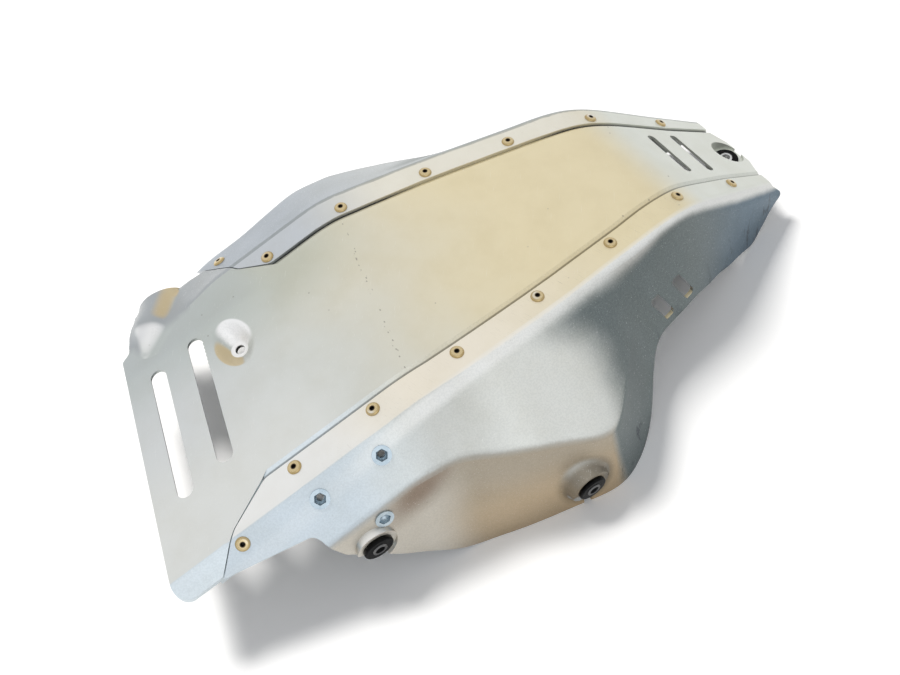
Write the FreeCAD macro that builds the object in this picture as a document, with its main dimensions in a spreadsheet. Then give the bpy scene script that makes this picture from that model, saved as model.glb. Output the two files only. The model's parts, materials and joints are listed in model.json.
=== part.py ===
import FreeCAD, Part
import math
import os
import Sketcher
from FreeCAD import Placement, Rotation, Vector

doc = FreeCAD.newDocument("BellyPan")
sizes = doc.addObject("Spreadsheet::Sheet", "Sizes")

# Driving dimensions, in millimetres and degrees, measured from the middle of the deck's outer face
dimensions = [
    ("sheet_gauge", 2.5, "thickness of the aluminium sheet"),
    ("pan_depth", 100.0, "from the deck's outer face to the level that the side panels are trimmed to"),
    ("nose_slope", 28.5, "how far the nose is bent down"),
    ("nose_bend", 167.0, "where the nose is bent"),
    ("nose_bend_reach", 27.0, "half the length of that bend"),
    ("tail_slope", 14.0, "how far the tail is bent down"),
    ("tail_bend", 45.5, "where the tail is bent"),
    ("tail_bend_reach", 12.0, "half the length of that bend"),
    ("tail_skew", 12.0, "turn of the tail's bend line from square"),
    ("seam_gap", 1.0, "between a flange's edge and the joggle"),
    ("joggle_width", 3.5, "of the slope that steps the margin down"),
    ("margin_inset", 5.0, "from the fold back to the margin's hidden edge"),
    ("fold_radius", 8.0, "outer radius where a flange turns into its flank"),
    ("step_radius", 12.0, "outer radius where a flank turns into its wall"),
    ("nose_end", 285.0, "to the end of the side panels' flanges"),
    ("nose_lip", 6.0, "how far the centre plate's end bows out past that"),
    ("tail_end", 213.7, "to the tail's edge, along the middle line"),
    ("long_flank", 12.5, "how far the tail's flank reaches out past the fold on the long side"),
    ("short_flank", 30.0, "the same on the short side"),
    ("long_end", 158.0, "where the long panel's flange edge turns outwards"),
    ("short_end", 83.0, "where the short panel's flange edge turns outwards"),
    ("long_taper", 28.0, "how far its end runs on towards the tail before it crosses the fold"),
    ("short_taper", 19.0, "the same on the short panel"),
    ("lap", 24.0, "how far the tail's flanks reach under the panels' ends"),
    ("rivet_edge", 6.0, "from a rivet's axis to the flange's edge"),
    ("rivet_head_radius", 4.5, "of the rivet's dome"),
    ("rivet_head_height", 1.6, "of the rivet's dome"),
    ("rivet_shank_radius", 2.4, "of the rivet in its hole"),
    ("rivet_bore_radius", 1.35, "of the hole that the stem leaves in the head"),
    ("rivet_upset_radius", 3.6, "of the upset end inside the pan"),
    ("rivet_upset_height", 3.0, "of the upset end inside the pan"),
    ("stem_recess", 1.9, "from the top of the dome down to the broken stem"),
    ("stem_head_height", 1.6, "of the stem's own head beyond the upset end"),
    ("grommet_radius", 10.0, "of the rubber flange"),
    ("grommet_neck_radius", 7.5, "of the rubber in the sheet's hole"),
    ("grommet_lip", 3.0, "thickness of each rubber flange"),
    ("sleeve_radius", 4.8, "outside of the steel sleeve"),
    ("sleeve_bore_radius", 3.2, "clears an M6 bolt"),
    ("sleeve_rise", 0.6, "of the sleeve's mouth above the rubber"),
    ("sleeve_foot_radius", 8.0, "of the sleeve's flange inside the pan"),
    ("sleeve_foot_height", 1.5, "of the sleeve's flange inside the pan"),
    ("seat_radius", 13.5, "of a pressed grommet seat"),
    ("insert_flange_radius", 6.0, "of the nut insert's flange"),
    ("insert_flange_height", 1.0, "of the nut insert's flange"),
    ("insert_shank_radius", 5.0, "of the nut insert's hexagon shank, to its corners"),
    ("insert_mouth_radius", 3.9, "of the nut insert's hexagon mouth, to its corners"),
    ("insert_mouth_depth", 4.0, "of the nut insert's hexagon mouth"),
    ("insert_length", 12.0, "of the nut insert behind its flange"),
    ("insert_bore_radius", 2.5, "core of the M6 thread"),
    ("tail_slot_length", 98.0, "of the tail slots"),
    ("tail_slot_width", 11.0, "of the tail slots"),
    ("tail_slot_inner", 161.5, "to the inner tail slot"),
    ("tail_slot_pitch", 30.2, "from the inner to the outer tail slot"),
    ("inner_slot_shift", 4.0, "of the inner tail slot towards the short side"),
    ("nose_slot_length", 46.0, "of the nose slots"),
    ("nose_slot_width", 6.5, "of the nose slots"),
    ("nose_slot_inner", 212.0, "to the inner nose slot"),
    ("nose_slot_pitch", 24.0, "from the inner to the outer nose slot"),
    ("dimple_along", 131.0, "to the bolt dimple"),
    ("dimple_across", 29.0, "from the middle line to the bolt dimple"),
    ("dimple_length", 42.0, "of the dimple's rim, across the pan"),
    ("dimple_width", 28.0, "of the dimple's rim, along the pan"),
    ("dimple_seat_radius", 6.5, "of the dimple's flat"),
    ("dimple_depth", 9.5, "of the dimple's flat"),
    ("dimple_hole_radius", 3.25, "of the bolt hole in the dimple"),
    ("nose_grommet_along", 278.0, "to the nose grommet"),
    ("nose_grommet_depth", 69.5, "of its seat below the deck"),
    ("front_grommet_along", 17.0, "to the front wing grommet, towards the nose"),
    ("front_grommet_across", 164.0, "of its seat from the middle line"),
    ("front_grommet_depth", 77.0, "of its axis below the deck"),
    ("rear_grommet_along", 119.0, "to the rear wing grommet, towards the tail"),
    ("rear_grommet_across", 129.0, "of its seat from the middle line"),
    ("rear_grommet_depth", 60.0, "of its axis below the deck"),
    ("notch_width", 5.0, "of the slot from the front seat to the trimmed edge"),
    ("window_width", 9.7, "of the two windows, along the pan"),
    ("window_height", 20.3, "of the two windows"),
    ("window_lean", 12.9, "how much nearer the nose a window's foot is than its head"),
    ("window_corner", 2.2, "radius of the windows' corners"),
    ("window_depth", 47.0, "of their middles below the deck"),
    ("window_first", 129.3, "to the first window"),
    ("window_pitch", 22.9, "from the first window to the second"),
    ("waist_arch", 38.0, "how far the long panel's lower edge rises at the waist"),
    ("boss_along", 171.0, "to the inner end of the corner boss's vault"),
    ("boss_across", 82.5, "from the middle line to the same point"),
    ("boss_depth", 42.0, "of the vault's axis below the deck"),
    ("boss_turn", 33.4, "turn of the vault's axis from square, towards the nose"),
    ("boss_tilt", 10.8, "how far the vault's axis falls outwards"),
    ("boss_radius", 14.0, "of the vault"),
    ("boss_length", 60.0, "of the vault before it is trimmed with the flank"),
    ("boss_ramp_length", 23.0, "of the ramp from the deck up to the vault"),
    ("boss_ramp_radius", 1.5, "of the ramp's low end"),
    ("long_end_inset", 15.5, "from the seam to where the long panel's end crosses its fold"),
    ("long_end_run", 57.0, "of the end past that, towards the tail"),
    ("long_end_spread", 51.0, "of the end past that, outwards"),
    ("short_end_inset", 13.0, "from the seam to where the short panel's end crosses its fold"),
    ("short_end_run", 60.0, "of the end past that, towards the tail"),
    ("short_end_spread", 96.0, "of the end past that, outwards"),
]

# Cross sections from nose to tail: distance from the one before, share of the tail's skew, width of the flanges,
# then for the long side and the short side the half width at the fold, the flank's run and fall, the wall's spread
columns = ("gap", "turn", "flange", "long_fold", "long_run", "long_fall", "long_spread",
           "short_fold", "short_run", "short_fall", "short_spread")
sections = [
    ("tip", 325.0, 0.0, 12.0, 43.0, 4.0, 8.0, 1.0, 43.0, 4.0, 8.0, 1.0),
    ("snout", 40.0, 0.0, 13.1, 44.5, 4.0, 8.0, 2.5, 44.5, 4.0, 8.0, 2.5),
    ("nose", 45.0, 0.0, 17.0, 51.0, 5.0, 10.0, 12.5, 51.0, 5.0, 10.0, 7.0),
    ("brow", 40.0, 0.0, 19.7, 58.5, 5.0, 12.0, 25.0, 58.5, 5.0, 12.0, 6.5),
    ("bend", 20.0, 0.0, 20.6, 62.0, 5.0, 12.0, 36.0, 62.0, 5.0, 12.0, 7.5),
    ("throat", 20.0, 0.0, 21.0, 65.8, 6.0, 14.0, 41.6, 65.8, 6.0, 14.0, 8.5),
    ("waist", 20.0, 0.0, 20.8, 68.5, 9.0, 18.0, 42.2, 68.5, 8.0, 16.0, 11.0),
    ("hollow", 20.0, 0.0, 20.0, 71.0, 15.0, 26.0, 40.7, 71.0, 11.0, 20.0, 13.0),
    ("swell", 20.0, 0.0, 19.6, 73.3, 26.0, 37.0, 38.7, 73.3, 17.0, 25.0, 17.5),
    ("shoulder", 20.0, 0.0, 19.2, 75.6, 44.0, 42.0, 30.0, 75.6, 25.0, 29.0, 19.5),
    ("rise", 20.0, 0.0, 18.8, 78.0, 62.0, 44.0, 21.0, 78.0, 33.0, 30.0, 20.0),
    ("crest", 25.0, 0.0, 18.6, 80.7, 72.0, 43.0, 13.5, 80.7, 41.0, 30.0, 20.0),
    ("belly", 35.0, 0.4, 18.8, 85.3, 55.0, 32.0, 18.5, 83.6, 47.0, 30.0, 19.5),
    ("fall", 30.0, 0.85, 19.4, 90.0, 35.5, 28.0, 25.5, 86.8, 50.0, 30.0, 19.0),
    ("fold", 15.5, 1.0, 19.8, 91.5, 32.5, 27.5, 26.0, 89.0, 50.0, 30.0, 19.5),
    ("root", 14.5, 1.0, 20.0, 91.8, 31.5, 26.0, 24.0, 90.0, 49.0, 27.0, 19.5),
    ("haunch", 20.0, 1.0, 20.0, 91.9, 32.0, 25.8, 20.5, 89.5, 44.5, 22.5, 19.0),
    ("tail", 30.0, 1.0, 20.0, 92.0, 32.0, 26.0, 17.0, 88.5, 38.5, 20.0, 18.0),
    ("croup", 28.0, 1.0, 20.0, 92.0, 32.0, 26.0, 15.6, 87.5, 37.0, 19.0, 16.0),
    ("rump", 22.0, 1.0, 20.0, 92.0, 32.0, 26.0, 14.6, 82.0, 32.0, 12.0, 12.0),
    ("heel", 40.0, 1.0, 20.0, 92.0, 32.0, 26.0, 12.0, 81.0, 32.0, 11.5, 10.0),
    ("end", 50.0, 1.0, 20.0, 92.0, 32.0, 26.0, 9.0, 81.0, 32.0, 11.5, 8.0),
]

# Places of the fasteners: along for the flange rivets, along and across for those on the flanks
long_rivets = [240.0, 174.5, 107.5, 42.5, -22.7, -84.4, -140.0]
short_rivets = [240.0, 174.5, 107.5, 42.5, -22.7, -82.0]
long_flank_rivet = (-186.7, -95.3)
short_flank_rivet = (-108.3, 106.0)
flank_inserts = [(-136.5, -99.9), (-93.8, -100.6)]
wall_insert = (-109.0, -43.0)

# The panels' lower edges from nose to tail: along, height above the level that they are trimmed to, corner radius
long_rise = [(-62, 0, 50), (-104, 20, 60), (-138, 44, 8), (-149, 62, 6)]
short_rise = [(-34, 0, 50), (-76, 20, 50), (-108, 48, 8), (-118, 58, 6)]
long_rise_end = 32.0
short_rise_end = 28.0

# The waist's arch in the long panel's lower edge: along, share of the arch's height, corner radius
long_arch = [(257, 0, 20), (213, 0.45, 40), (168, 1, 50), (117, 1, 25), (84, 0, 40)]

# The tail's far corner: distance from the tail's edge on the middle line, across, corner radius
far_corner = [(15.2, 71.5, 3), (22.2, 75.0, 5), (27.2, 88.6, 6), (33.9, 97.5, 4)]
far_corner_end = 37.2
near_corner_radius = 9.0

row = 1
for alias, value, note in dimensions:
    sizes.set(f"A{row}", alias)
    sizes.set(f"B{row}", str(value))
    sizes.setAlias(f"B{row}", alias)
    sizes.set(f"C{row}", note)
    row += 1
for name, *values in sections:
    for column, value in zip(columns, values):
        sizes.set(f"A{row}", f"{name}_{column}")
        sizes.set(f"B{row}", str(value))
        sizes.setAlias(f"B{row}", f"{name}_{column}")
        row += 1
doc.recompute()


def size(alias):
    return float(sizes.get(alias))


gauge = size("sheet_gauge")
depth = size("pan_depth")
below = depth + 20.0
above = 40.0
reach = 400.0
section_spacing = 18.0


def feature(name, shape):
    made = doc.addObject("Part::Feature", name)
    made.Shape = shape
    return made


def cut(name, base, tool):
    made = doc.addObject("Part::Cut", name)
    made.Base = base
    made.Tool = tool
    doc.recompute()
    return made


def fuse(name, parts):
    made = doc.addObject("Part::MultiFuse", name)
    made.Shapes = parts
    doc.recompute()
    return made


def common(name, parts):
    made = doc.addObject("Part::MultiCommon", name)
    made.Shapes = parts
    doc.recompute()
    return made


def rod(name, radius, height, place):
    made = doc.addObject("Part::Cylinder", name)
    made.setExpression("Radius", radius)
    made.setExpression("Height", height)
    made.Placement = place
    doc.recompute()
    return made


def pointing(point, direction):
    return Placement(point, Rotation(Vector(0, 0, 1), direction))


# Outlines: straight edges with rounded corners, given as (first, second, corner radius)
def outline(corners, lift):
    edges = []
    count = len(corners)
    starts = []
    for index in range(count):
        before = lift(*corners[index - 1][:2])
        corner = lift(*corners[index][:2])
        after = lift(*corners[(index + 1) % count][:2])
        radius = corners[index][2]
        inward = (before - corner).normalize()
        onward = (after - corner).normalize()
        if radius == 0:
            starts.append((corner, corner, None))
            continue
        half = inward.getAngle(onward) / 2
        run = radius / math.tan(half)
        middle = corner + (inward + onward).normalize() * (radius / math.sin(half) - radius)
        starts.append((corner + inward * run, corner + onward * run, middle))
    for index in range(count):
        first, last, middle = starts[index]
        if middle is not None:
            edges.append(Part.Arc(first, middle, last).toShape())
        edges.append(Part.makeLine(last, starts[(index + 1) % count][0]))
    return Part.Wire(edges)


def plan_prism(name, corners):
    wire = outline(corners, lambda x, y: Vector(x, y, -below))
    return feature(name, Part.Face(wire).extrude(Vector(0, 0, below + above)))


def side_prism(name, corners):
    wire = outline(corners, lambda x, z: Vector(x, -reach, z))
    return feature(name, Part.Face(wire).extrude(Vector(0, 2 * reach, 0)))


# The deck's fall at a distance along the middle line, with a rounded bend at each end
def bend_fall(distance, bend_reach, slope):
    if distance <= -bend_reach:
        return 0.0
    if distance >= bend_reach:
        return slope * distance
    return slope * (distance + bend_reach) ** 2 / (4 * bend_reach)


nose_pitch = math.tan(math.radians(size("nose_slope")))
tail_turn = math.radians(size("tail_skew"))
tail_pitch = math.tan(math.radians(size("tail_slope"))) * math.cos(tail_turn)


def deck_fall(along):
    nose = bend_fall(along - size("nose_bend"), size("nose_bend_reach"), nose_pitch)
    tail = bend_fall(-along - size("tail_bend"), size("tail_bend_reach"), tail_pitch)
    return nose + tail


stations = []
along = 2 * size("tip_gap")
former = None
for name, *values in sections:
    latter = {column: size(f"{name}_{column}") for column in columns}
    along -= latter["gap"]
    latter["along"] = along
    steps = 1 if former is None else max(1, round(latter["gap"] / section_spacing))
    for step in range(1, steps + 1):
        share = step / steps
        start = latter if former is None else former
        station = {key: start[key] + (latter[key] - start[key]) * share for key in latter}
        station["skew"] = station["turn"] * tail_turn
        station["fall"] = deck_fall(station["along"])
        stations.append(station)
    former = latter


def at_station(station, across, height):
    x = station["along"] + across * math.sin(station["skew"])
    return Vector(x, across * math.cos(station["skew"]), height - station["fall"])


# One side of a cross section as corner points: joggle, fold, step and foot, set in by a level
def inset(corner, before, after, level):
    first = Vector(-before.y, before.x, 0)
    second = Vector(-after.y, after.x, 0)
    return corner - (first + second) * (level / (1 + first.dot(second)))


def side_edges(station, side, deck_level, margin_level):
    flat = Vector(1, 0, 0)
    fold = Vector(station[side + "_fold"], 0, 0)
    step = fold + Vector(station[side + "_run"], -station[side + "_fall"], 0)
    foot_height = station["fall"] - below
    rest_height = station["fall"] - depth
    wall_drop = step.y - rest_height
    lean = station[side + "_spread"] / max(wall_drop, 8.0)
    foot = Vector(step.x + lean * (step.y - foot_height), foot_height, 0)
    flank = (step - fold).normalize()
    wall = (foot - step).normalize()
    points = []
    if margin_level > deck_level:
        seam = fold.x - station["flange"] - size("seam_gap")
        top = Vector(seam - size("joggle_width"), 0, 0)
        bottom = Vector(seam, -gauge, 0)
        slope = (bottom - top).normalize()
        points.append((inset(top, flat, slope, deck_level), 0.0, None, None))
        points.append((inset(bottom, slope, flat, deck_level), 0.0, None, None))
    points.append((inset(fold, flat, flank, margin_level), size("fold_radius") - margin_level, flat, flank))
    points.append((inset(step, flank, wall, margin_level), size("step_radius") - margin_level, flank, wall))
    inner_foot = inset(step, flank, wall, margin_level)
    inner_foot = inner_foot + wall * ((foot_height - inner_foot.y) / wall.y)
    points.append((inner_foot, 0.0, None, None))
    return points


def section_wire(station, deck_level, margin_level):
    edges = []
    last = None
    for side, sign in (("long", -1), ("short", 1)):
        points = side_edges(station, side, deck_level, margin_level)
        path = []
        for corner, radius, before, after in points:
            if before is None:
                path.append([corner])
                continue
            half = before.getAngle(after) / 2
            run = radius * math.tan(half)
            up = Vector(-before.y, before.x, 0) + Vector(-after.y, after.x, 0)
            middle = corner - up.normalize() * (radius / math.cos(half) - radius)
            path.append([corner - before * run, middle, corner + after * run])
        if side == "long":
            path = [list(reversed(step)) for step in reversed(path)]
        for step in path:
            places = [at_station(station, sign * point.x, point.y) for point in step]
            if last is not None:
                edges.append(Part.makeLine(last, places[0]))
            if len(places) == 3:
                edges.append(Part.Arc(*places).toShape())
            last = places[-1]
    edges.append(Part.makeLine(last, edges[0].Vertexes[0].Point))
    return Part.Wire(edges)


def form(name, deck_level, margin_level):
    wires = [section_wire(station, deck_level, margin_level) for station in stations]
    return feature(name, Part.makeLoft(wires, True, False))


outer_form = form("OuterForm", 0.0, 0.0)
inner_form = form("InnerForm", gauge, gauge)
plate_outer_form = form("PlateOuterForm", 0.0, gauge)
plate_inner_form = form("PlateInnerForm", gauge, 2 * gauge)


# Places along the seams and margins, as plan points from nose to tail
def line_points(side, inward, low, high):
    sign = -1 if side == "long" else 1
    points = []
    for station in stations:
        across = station[side + "_fold"] - inward(station)
        point = at_station(station, sign * across, 0)
        if low < point.x < high:
            points.append((point.x, point.y, 0))
    return points


def flange_of(station):
    return station["flange"]


def across_at(points, along):
    for first, second in zip(points, points[1:]):
        if second[0] <= along <= first[0]:
            share = (first[0] - along) / (first[0] - second[0])
            return first[1] + (second[1] - first[1]) * share


tail_station = stations[-1]
tail_cos = math.cos(tail_station["skew"])
tail_tan = math.tan(tail_station["skew"])
long_seam = line_points("long", flange_of, -reach, reach)
short_seam = line_points("short", flange_of, -reach, reach)
nose_end = size("nose_end")
long_end = size("long_end")
long_cross = long_end + size("long_taper")
short_end = size("short_end")
short_cross = short_end + size("short_taper")
long_corner = across_at(long_seam, -long_end)
short_corner = across_at(short_seam, -short_end)
long_turn = long_corner - size("long_end_inset")
short_turn = short_corner + size("short_end_inset")
long_outside = long_turn - size("long_end_spread")
short_outside = short_turn + size("short_end_spread")


# The panels' ends at the tail, moved towards the tail by a gap
def long_end_line(gap):
    return [
        (-long_end - gap, long_corner + gap, 10),
        (-long_cross - gap, long_turn, 12),
        (-long_cross - size("long_end_run") - gap, long_outside, 0),
    ]


def short_end_line(gap):
    return [
        (-short_end - gap, short_corner - gap, 8),
        (-short_cross - gap, short_turn, 10),
        (-short_cross - size("short_end_run") - gap, short_outside, 0),
    ]


def panel_plan(name, seam, end_line, outside):
    kept = [point for point in seam if point[0] > end_line[0][0] + 14]
    last = end_line[-1]
    corners = kept + end_line + [(last[0], outside, 0), (reach, outside, 0), (reach, kept[0][1], 0)]
    return plan_prism(name, corners)


def tail_plan(name, gap):
    inside = size("joggle_width") + 8
    corners = list(reversed(long_end_line(gap)))
    corners += [(-long_end + 14, long_corner + inside, 0), (-short_end + 14, short_corner - inside, 0)]
    corners += short_end_line(gap)
    corners += [(-reach, short_outside, 0), (-reach, long_outside, 0)]
    return plan_prism(name, corners)


# The panels' outlines seen from the side
def panel_side(name, arch, rise, rise_end):
    nose_drop = deck_fall(nose_end)
    corners = [
        (-reach, above - 5, 0),
        (nose_end, above - 5, 0),
        (nose_end, -nose_drop - 2, 0),
        (nose_end + 11, -nose_drop - 13, 5),
        (nose_end - 9, 6 - depth, 10),
    ]
    corners += [(x, share * size("waist_arch") - depth, radius) for x, share, radius in arch]
    corners += [(x, height - depth, radius) for x, height, radius in rise]
    corners.append((-reach, rise_end - depth, 0))
    return side_prism(name, corners)


long_plan = panel_plan("LongPlan", long_seam, long_end_line(0), -reach)
short_plan = panel_plan("ShortPlan", short_seam, short_end_line(0), reach)
long_side = panel_side("LongSide", long_arch, long_rise, long_rise_end)
short_side = panel_side("ShortSide", [(nose_end - 33, 0, 20)], short_rise, short_rise_end)

# Grommet seats: where each rubber flange lies and the way it faces
outwards = Vector(0, -1, 0)
upwards = Vector(0, 0, 1)
front_seat = Vector(size("front_grommet_along"), -size("front_grommet_across"), -size("front_grommet_depth"))
rear_seat = Vector(-size("rear_grommet_along"), -size("rear_grommet_across"), -size("rear_grommet_depth"))
nose_seat = Vector(size("nose_grommet_along"), 0, -size("nose_grommet_depth"))
wing_seats = {"Front": front_seat, "Rear": rear_seat}


def seated_form(name, base, level, change):
    radius = "Sizes.seat_radius"
    pockets = []
    bosses = []
    for seat_name, seat in wing_seats.items():
        start = seat - outwards * level
        out_place = pointing(start, outwards)
        in_place = pointing(start, outwards * -1)
        pockets.append(rod(name + seat_name + "Pocket", radius + " + " + change, "60", out_place))
        bosses.append(rod(name + seat_name + "Boss", radius + " - " + change, "32", in_place))
    hollowed = cut(name + "Hollowed", base, fuse(name + "Pockets", pockets))
    return fuse(name, [hollowed] + bosses)


long_outer = seated_form("LongOuter", outer_form, 0.0, "0")
long_inner = seated_form("LongInner", inner_form, gauge, "Sizes.sheet_gauge")
long_shell = cut("LongShell", long_outer, long_inner)
long_blank = common("LongBlank", [long_shell, long_plan, long_side])
shell = cut("Shell", outer_form, inner_form)
short_blank = common("ShortBlank", [shell, short_plan, short_side])

# Centre plate: joggled under the flanges, flush at the tail
tail_outer = common("TailOuter", [outer_form, tail_plan("TailPlan", size("seam_gap"))])
tail_inner = common("TailInner", [inner_form, tail_plan("TailInnerPlan", size("seam_gap") + gauge)])


def boss(name, level):
    turn = math.radians(size("boss_turn"))
    tilt = math.radians(size("boss_tilt"))
    inner = Vector(-size("boss_along"), size("boss_across"), -size("boss_depth"))
    onward = Vector(math.sin(turn), math.cos(turn), -math.tan(tilt))
    vault = rod(name + "Vault", f"Sizes.boss_radius - {level}", "Sizes.boss_length", pointing(inner, onward))
    ramp = doc.addObject("Part::Cone", name + "Ramp")
    ramp.setExpression("Radius1", f"Sizes.boss_radius - {level}")
    ramp.setExpression("Radius2", "Sizes.boss_ramp_radius")
    ramp.setExpression("Height", f"Sizes.boss_ramp_length - 2 * {level}")
    ramp.Placement = pointing(inner, onward * -1)
    return fuse(name, [vault, ramp])


tail_normal = Vector(-math.cos(tail_turn), math.sin(tail_turn), 0) * math.sin(math.radians(size("tail_slope")))
tail_normal = tail_normal + upwards * math.cos(math.radians(size("tail_slope")))
dimple_x = -size("dimple_along")
dimple_y = size("dimple_across")
dimple_rim = Vector(dimple_x, dimple_y, -deck_fall(dimple_x - dimple_y * tail_tan))
dimple_seat = dimple_rim - tail_normal * size("dimple_depth")


def dimple(name, level):
    wide = 0.35 * level
    over = 4.0 / size("dimple_depth")
    half_length = size("dimple_length") / 2
    half_width = size("dimple_width") / 2
    seat_radius = size("dimple_seat_radius")
    half_length += (half_length - seat_radius) * over + wide
    half_width += (half_width - seat_radius) * over + wide
    down = tail_normal * level
    rim = Part.Ellipse(Vector(0, half_length, 0), Vector(half_width, 0, 0), Vector(0, 0, 0)).toShape()
    rim.Placement = pointing(dimple_rim + tail_normal * 4.0 - down, tail_normal)
    seat = Part.Ellipse(Vector(0, seat_radius + wide + 0.01, 0), Vector(seat_radius + wide, 0, 0), Vector(0, 0, 0)).toShape()
    seat.Placement = pointing(dimple_seat - down, tail_normal)
    return feature(name, Part.makeLoft([Part.Wire(rim), Part.Wire(seat)], True, True))


nose_pocket = rod("NosePocket", "Sizes.seat_radius", "90", pointing(nose_seat, upwards))
nose_pocket_back = rod("NosePocketBack", "Sizes.seat_radius + Sizes.sheet_gauge", "90",
                       pointing(nose_seat - upwards * gauge, upwards))
plate_outer = fuse("PlateOuter", [plate_outer_form, tail_outer, boss("Boss", "0")])
plate_inner = fuse("PlateInner", [plate_inner_form, tail_inner, boss("BossBack", "Sizes.sheet_gauge")])
plate_outer = cut("PlateOuterPressed", plate_outer, fuse("Pressings", [nose_pocket, dimple("Dimple", 0.0)]))
plate_inner = cut("PlateInnerPressed", plate_inner, fuse("PressingBacks", [nose_pocket_back, dimple("DimpleBack", gauge)]))
plate_shell = cut("PlateShell", plate_outer, plate_inner)


def margin_of(station):
    return size("margin_inset")


long_limit = (tail_station["long_fold"] + size("long_flank")) * tail_cos
short_limit = (tail_station["short_fold"] + size("short_flank")) * tail_cos
long_lap = -long_cross + size("lap")
short_lap = -short_cross - 14 + size("lap")
long_margin = line_points("long", margin_of, long_lap + 8, nose_end - 8)
short_margin = line_points("short", margin_of, short_lap + 8, nose_end - 8)
end_middle = -size("tail_end")
plate_corners = [(nose_end, long_margin[0][1], 0)]
plate_corners += long_margin
plate_corners += [
    (long_lap, long_margin[-1][1], 0),
    (long_lap - 6, -long_limit, 4),
    (end_middle - long_limit * tail_tan, -long_limit, near_corner_radius),
]
plate_corners += [(end_middle + x, y, radius) for x, y, radius in far_corner]
plate_corners += [
    (end_middle + far_corner_end, short_limit, 3),
    (short_lap - 2, short_limit, 4),
    (short_lap, short_margin[-1][1], 0),
]
plate_corners += list(reversed(short_margin))
lip = size("nose_lip")
plate_corners += [
    (nose_end, short_margin[0][1], 0),
    (nose_end, 26, 8),
    (nose_end + lip, 13, 8),
    (nose_end + lip, -13, 8),
    (nose_end, -26, 8),
]
plate_blank = common("PlateBlank", [plate_shell, plan_prism("PlatePlan", plate_corners)])


# Where a fastener meets the outer face, with the face's outward normal there
def met_from_above(x, y):
    seen = outer_form.Shape.common(Part.makeLine(Vector(x, y, above), Vector(x, y, 5 - below)))
    return max(vertex.Z for vertex in seen.Vertexes)


def met_from_long_side(x, z):
    seen = outer_form.Shape.common(Part.makeLine(Vector(x, -reach, z), Vector(x, 0, z)))
    return min(vertex.Y for vertex in seen.Vertexes)


def on_top(x, y):
    height = met_from_above(x, y)
    along_slope = met_from_above(x + 1, y) - met_from_above(x - 1, y)
    across_slope = met_from_above(x, y + 1) - met_from_above(x, y - 1)
    return Vector(x, y, height), Vector(-along_slope, -across_slope, 2).normalize()


def on_long_wall(x, z):
    across = met_from_long_side(x, z)
    along_slope = met_from_long_side(x + 1, z) - met_from_long_side(x - 1, z)
    rise_slope = met_from_long_side(x, z + 1) - met_from_long_side(x, z - 1)
    return Vector(x, across, z), Vector(along_slope, -2, rise_slope).normalize()


def group(name, master, seats, sink):
    copies = []
    for point, normal in seats:
        copy = master.Shape.copy()
        copy.Placement = pointing(point - normal * sink, normal)
        copies.append(copy)
    return feature(name, Part.makeCompound(copies))


edge = size("rivet_edge")
long_seats = [on_top(x, across_at(long_seam, x) - edge) for x in long_rivets] + [on_top(*long_flank_rivet)]
short_seats = [on_top(x, across_at(short_seam, x) + edge) for x in short_rivets] + [on_top(*short_flank_rivet)]
insert_seats = [on_top(*place) for place in flank_inserts] + [on_long_wall(*wall_insert)]


# Turned pieces: a profile of radius and height, in a body of its own, with rounded edges where a radius is given
def turned(name, corners, rounds):
    body = doc.addObject("PartDesign::Body", name)
    sketch = body.newObject("Sketcher::SketchObject", name + "Profile")
    plane = [part for part in body.Origin.OriginFeatures if part.Role == "XZ_Plane"][0]
    sketch.AttachmentSupport = [(plane, "")]
    sketch.MapMode = "FlatFace"
    doc.recompute()
    points = []
    for radius, height in corners:
        points.append(Vector(float(sizes.evalExpression(radius)), float(sizes.evalExpression(height)), 0))
    count = len(points)
    for index in range(count):
        first = points[index]
        last = points[(index + 1) % count]
        if index in rounds:
            swing = float(sizes.evalExpression(rounds[index]))
            middle = (first + last) * 0.5
            chord = last - first
            rise = swing - math.sqrt(swing ** 2 - chord.Length ** 2 / 4)
            middle = middle + Vector(chord.y, -chord.x, 0).normalize() * rise
            sketch.addGeometry(Part.Arc(first, middle, last))
        else:
            sketch.addGeometry(Part.LineSegment(first, last))
    ends = {}
    for index in range(count):
        starts_at_first = True
        if index in rounds:
            start = sketch.Geometry[index].StartPoint
            starts_at_first = start.distanceToPoint(points[index]) < 1e-6
        ends[index] = (1, 2) if starts_at_first else (2, 1)
    for index in range(count):
        after = (index + 1) % count
        sketch.addConstraint(Sketcher.Constraint("Coincident", index, ends[index][1], after, ends[after][0]))
    for index, (radius, height) in enumerate(corners):
        start = ends[index][0]
        if radius == "0":
            sketch.addConstraint(Sketcher.Constraint("PointOnObject", index, start, -2))
        else:
            place = sketch.addConstraint(Sketcher.Constraint("DistanceX", -1, 1, index, start, points[index].x))
            sketch.setExpression(f"Constraints[{place}]", in_sheet(radius))
        if height == "0":
            sketch.addConstraint(Sketcher.Constraint("PointOnObject", index, start, -1))
        else:
            place = sketch.addConstraint(Sketcher.Constraint("DistanceY", -1, 1, index, start, points[index].y))
            sketch.setExpression(f"Constraints[{place}]", in_sheet(height))
    for index, radius in rounds.items():
        swing = float(sizes.evalExpression(radius))
        place = sketch.addConstraint(Sketcher.Constraint("Radius", index, swing))
        sketch.setExpression(f"Constraints[{place}]", in_sheet(radius))
    doc.recompute()
    spin = body.newObject("PartDesign::Revolution", name + "Turned")
    spin.Profile = sketch
    spin.ReferenceAxis = (sketch, ["V_Axis"])
    spin.Angle = 360
    body.Tip = spin
    doc.recompute()
    return body


names = [alias for alias, value, note in dimensions]


def in_sheet(expression):
    words = expression.split(" ")
    return " ".join(f"Sizes.{word}" if word in names else word for word in words)


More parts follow.
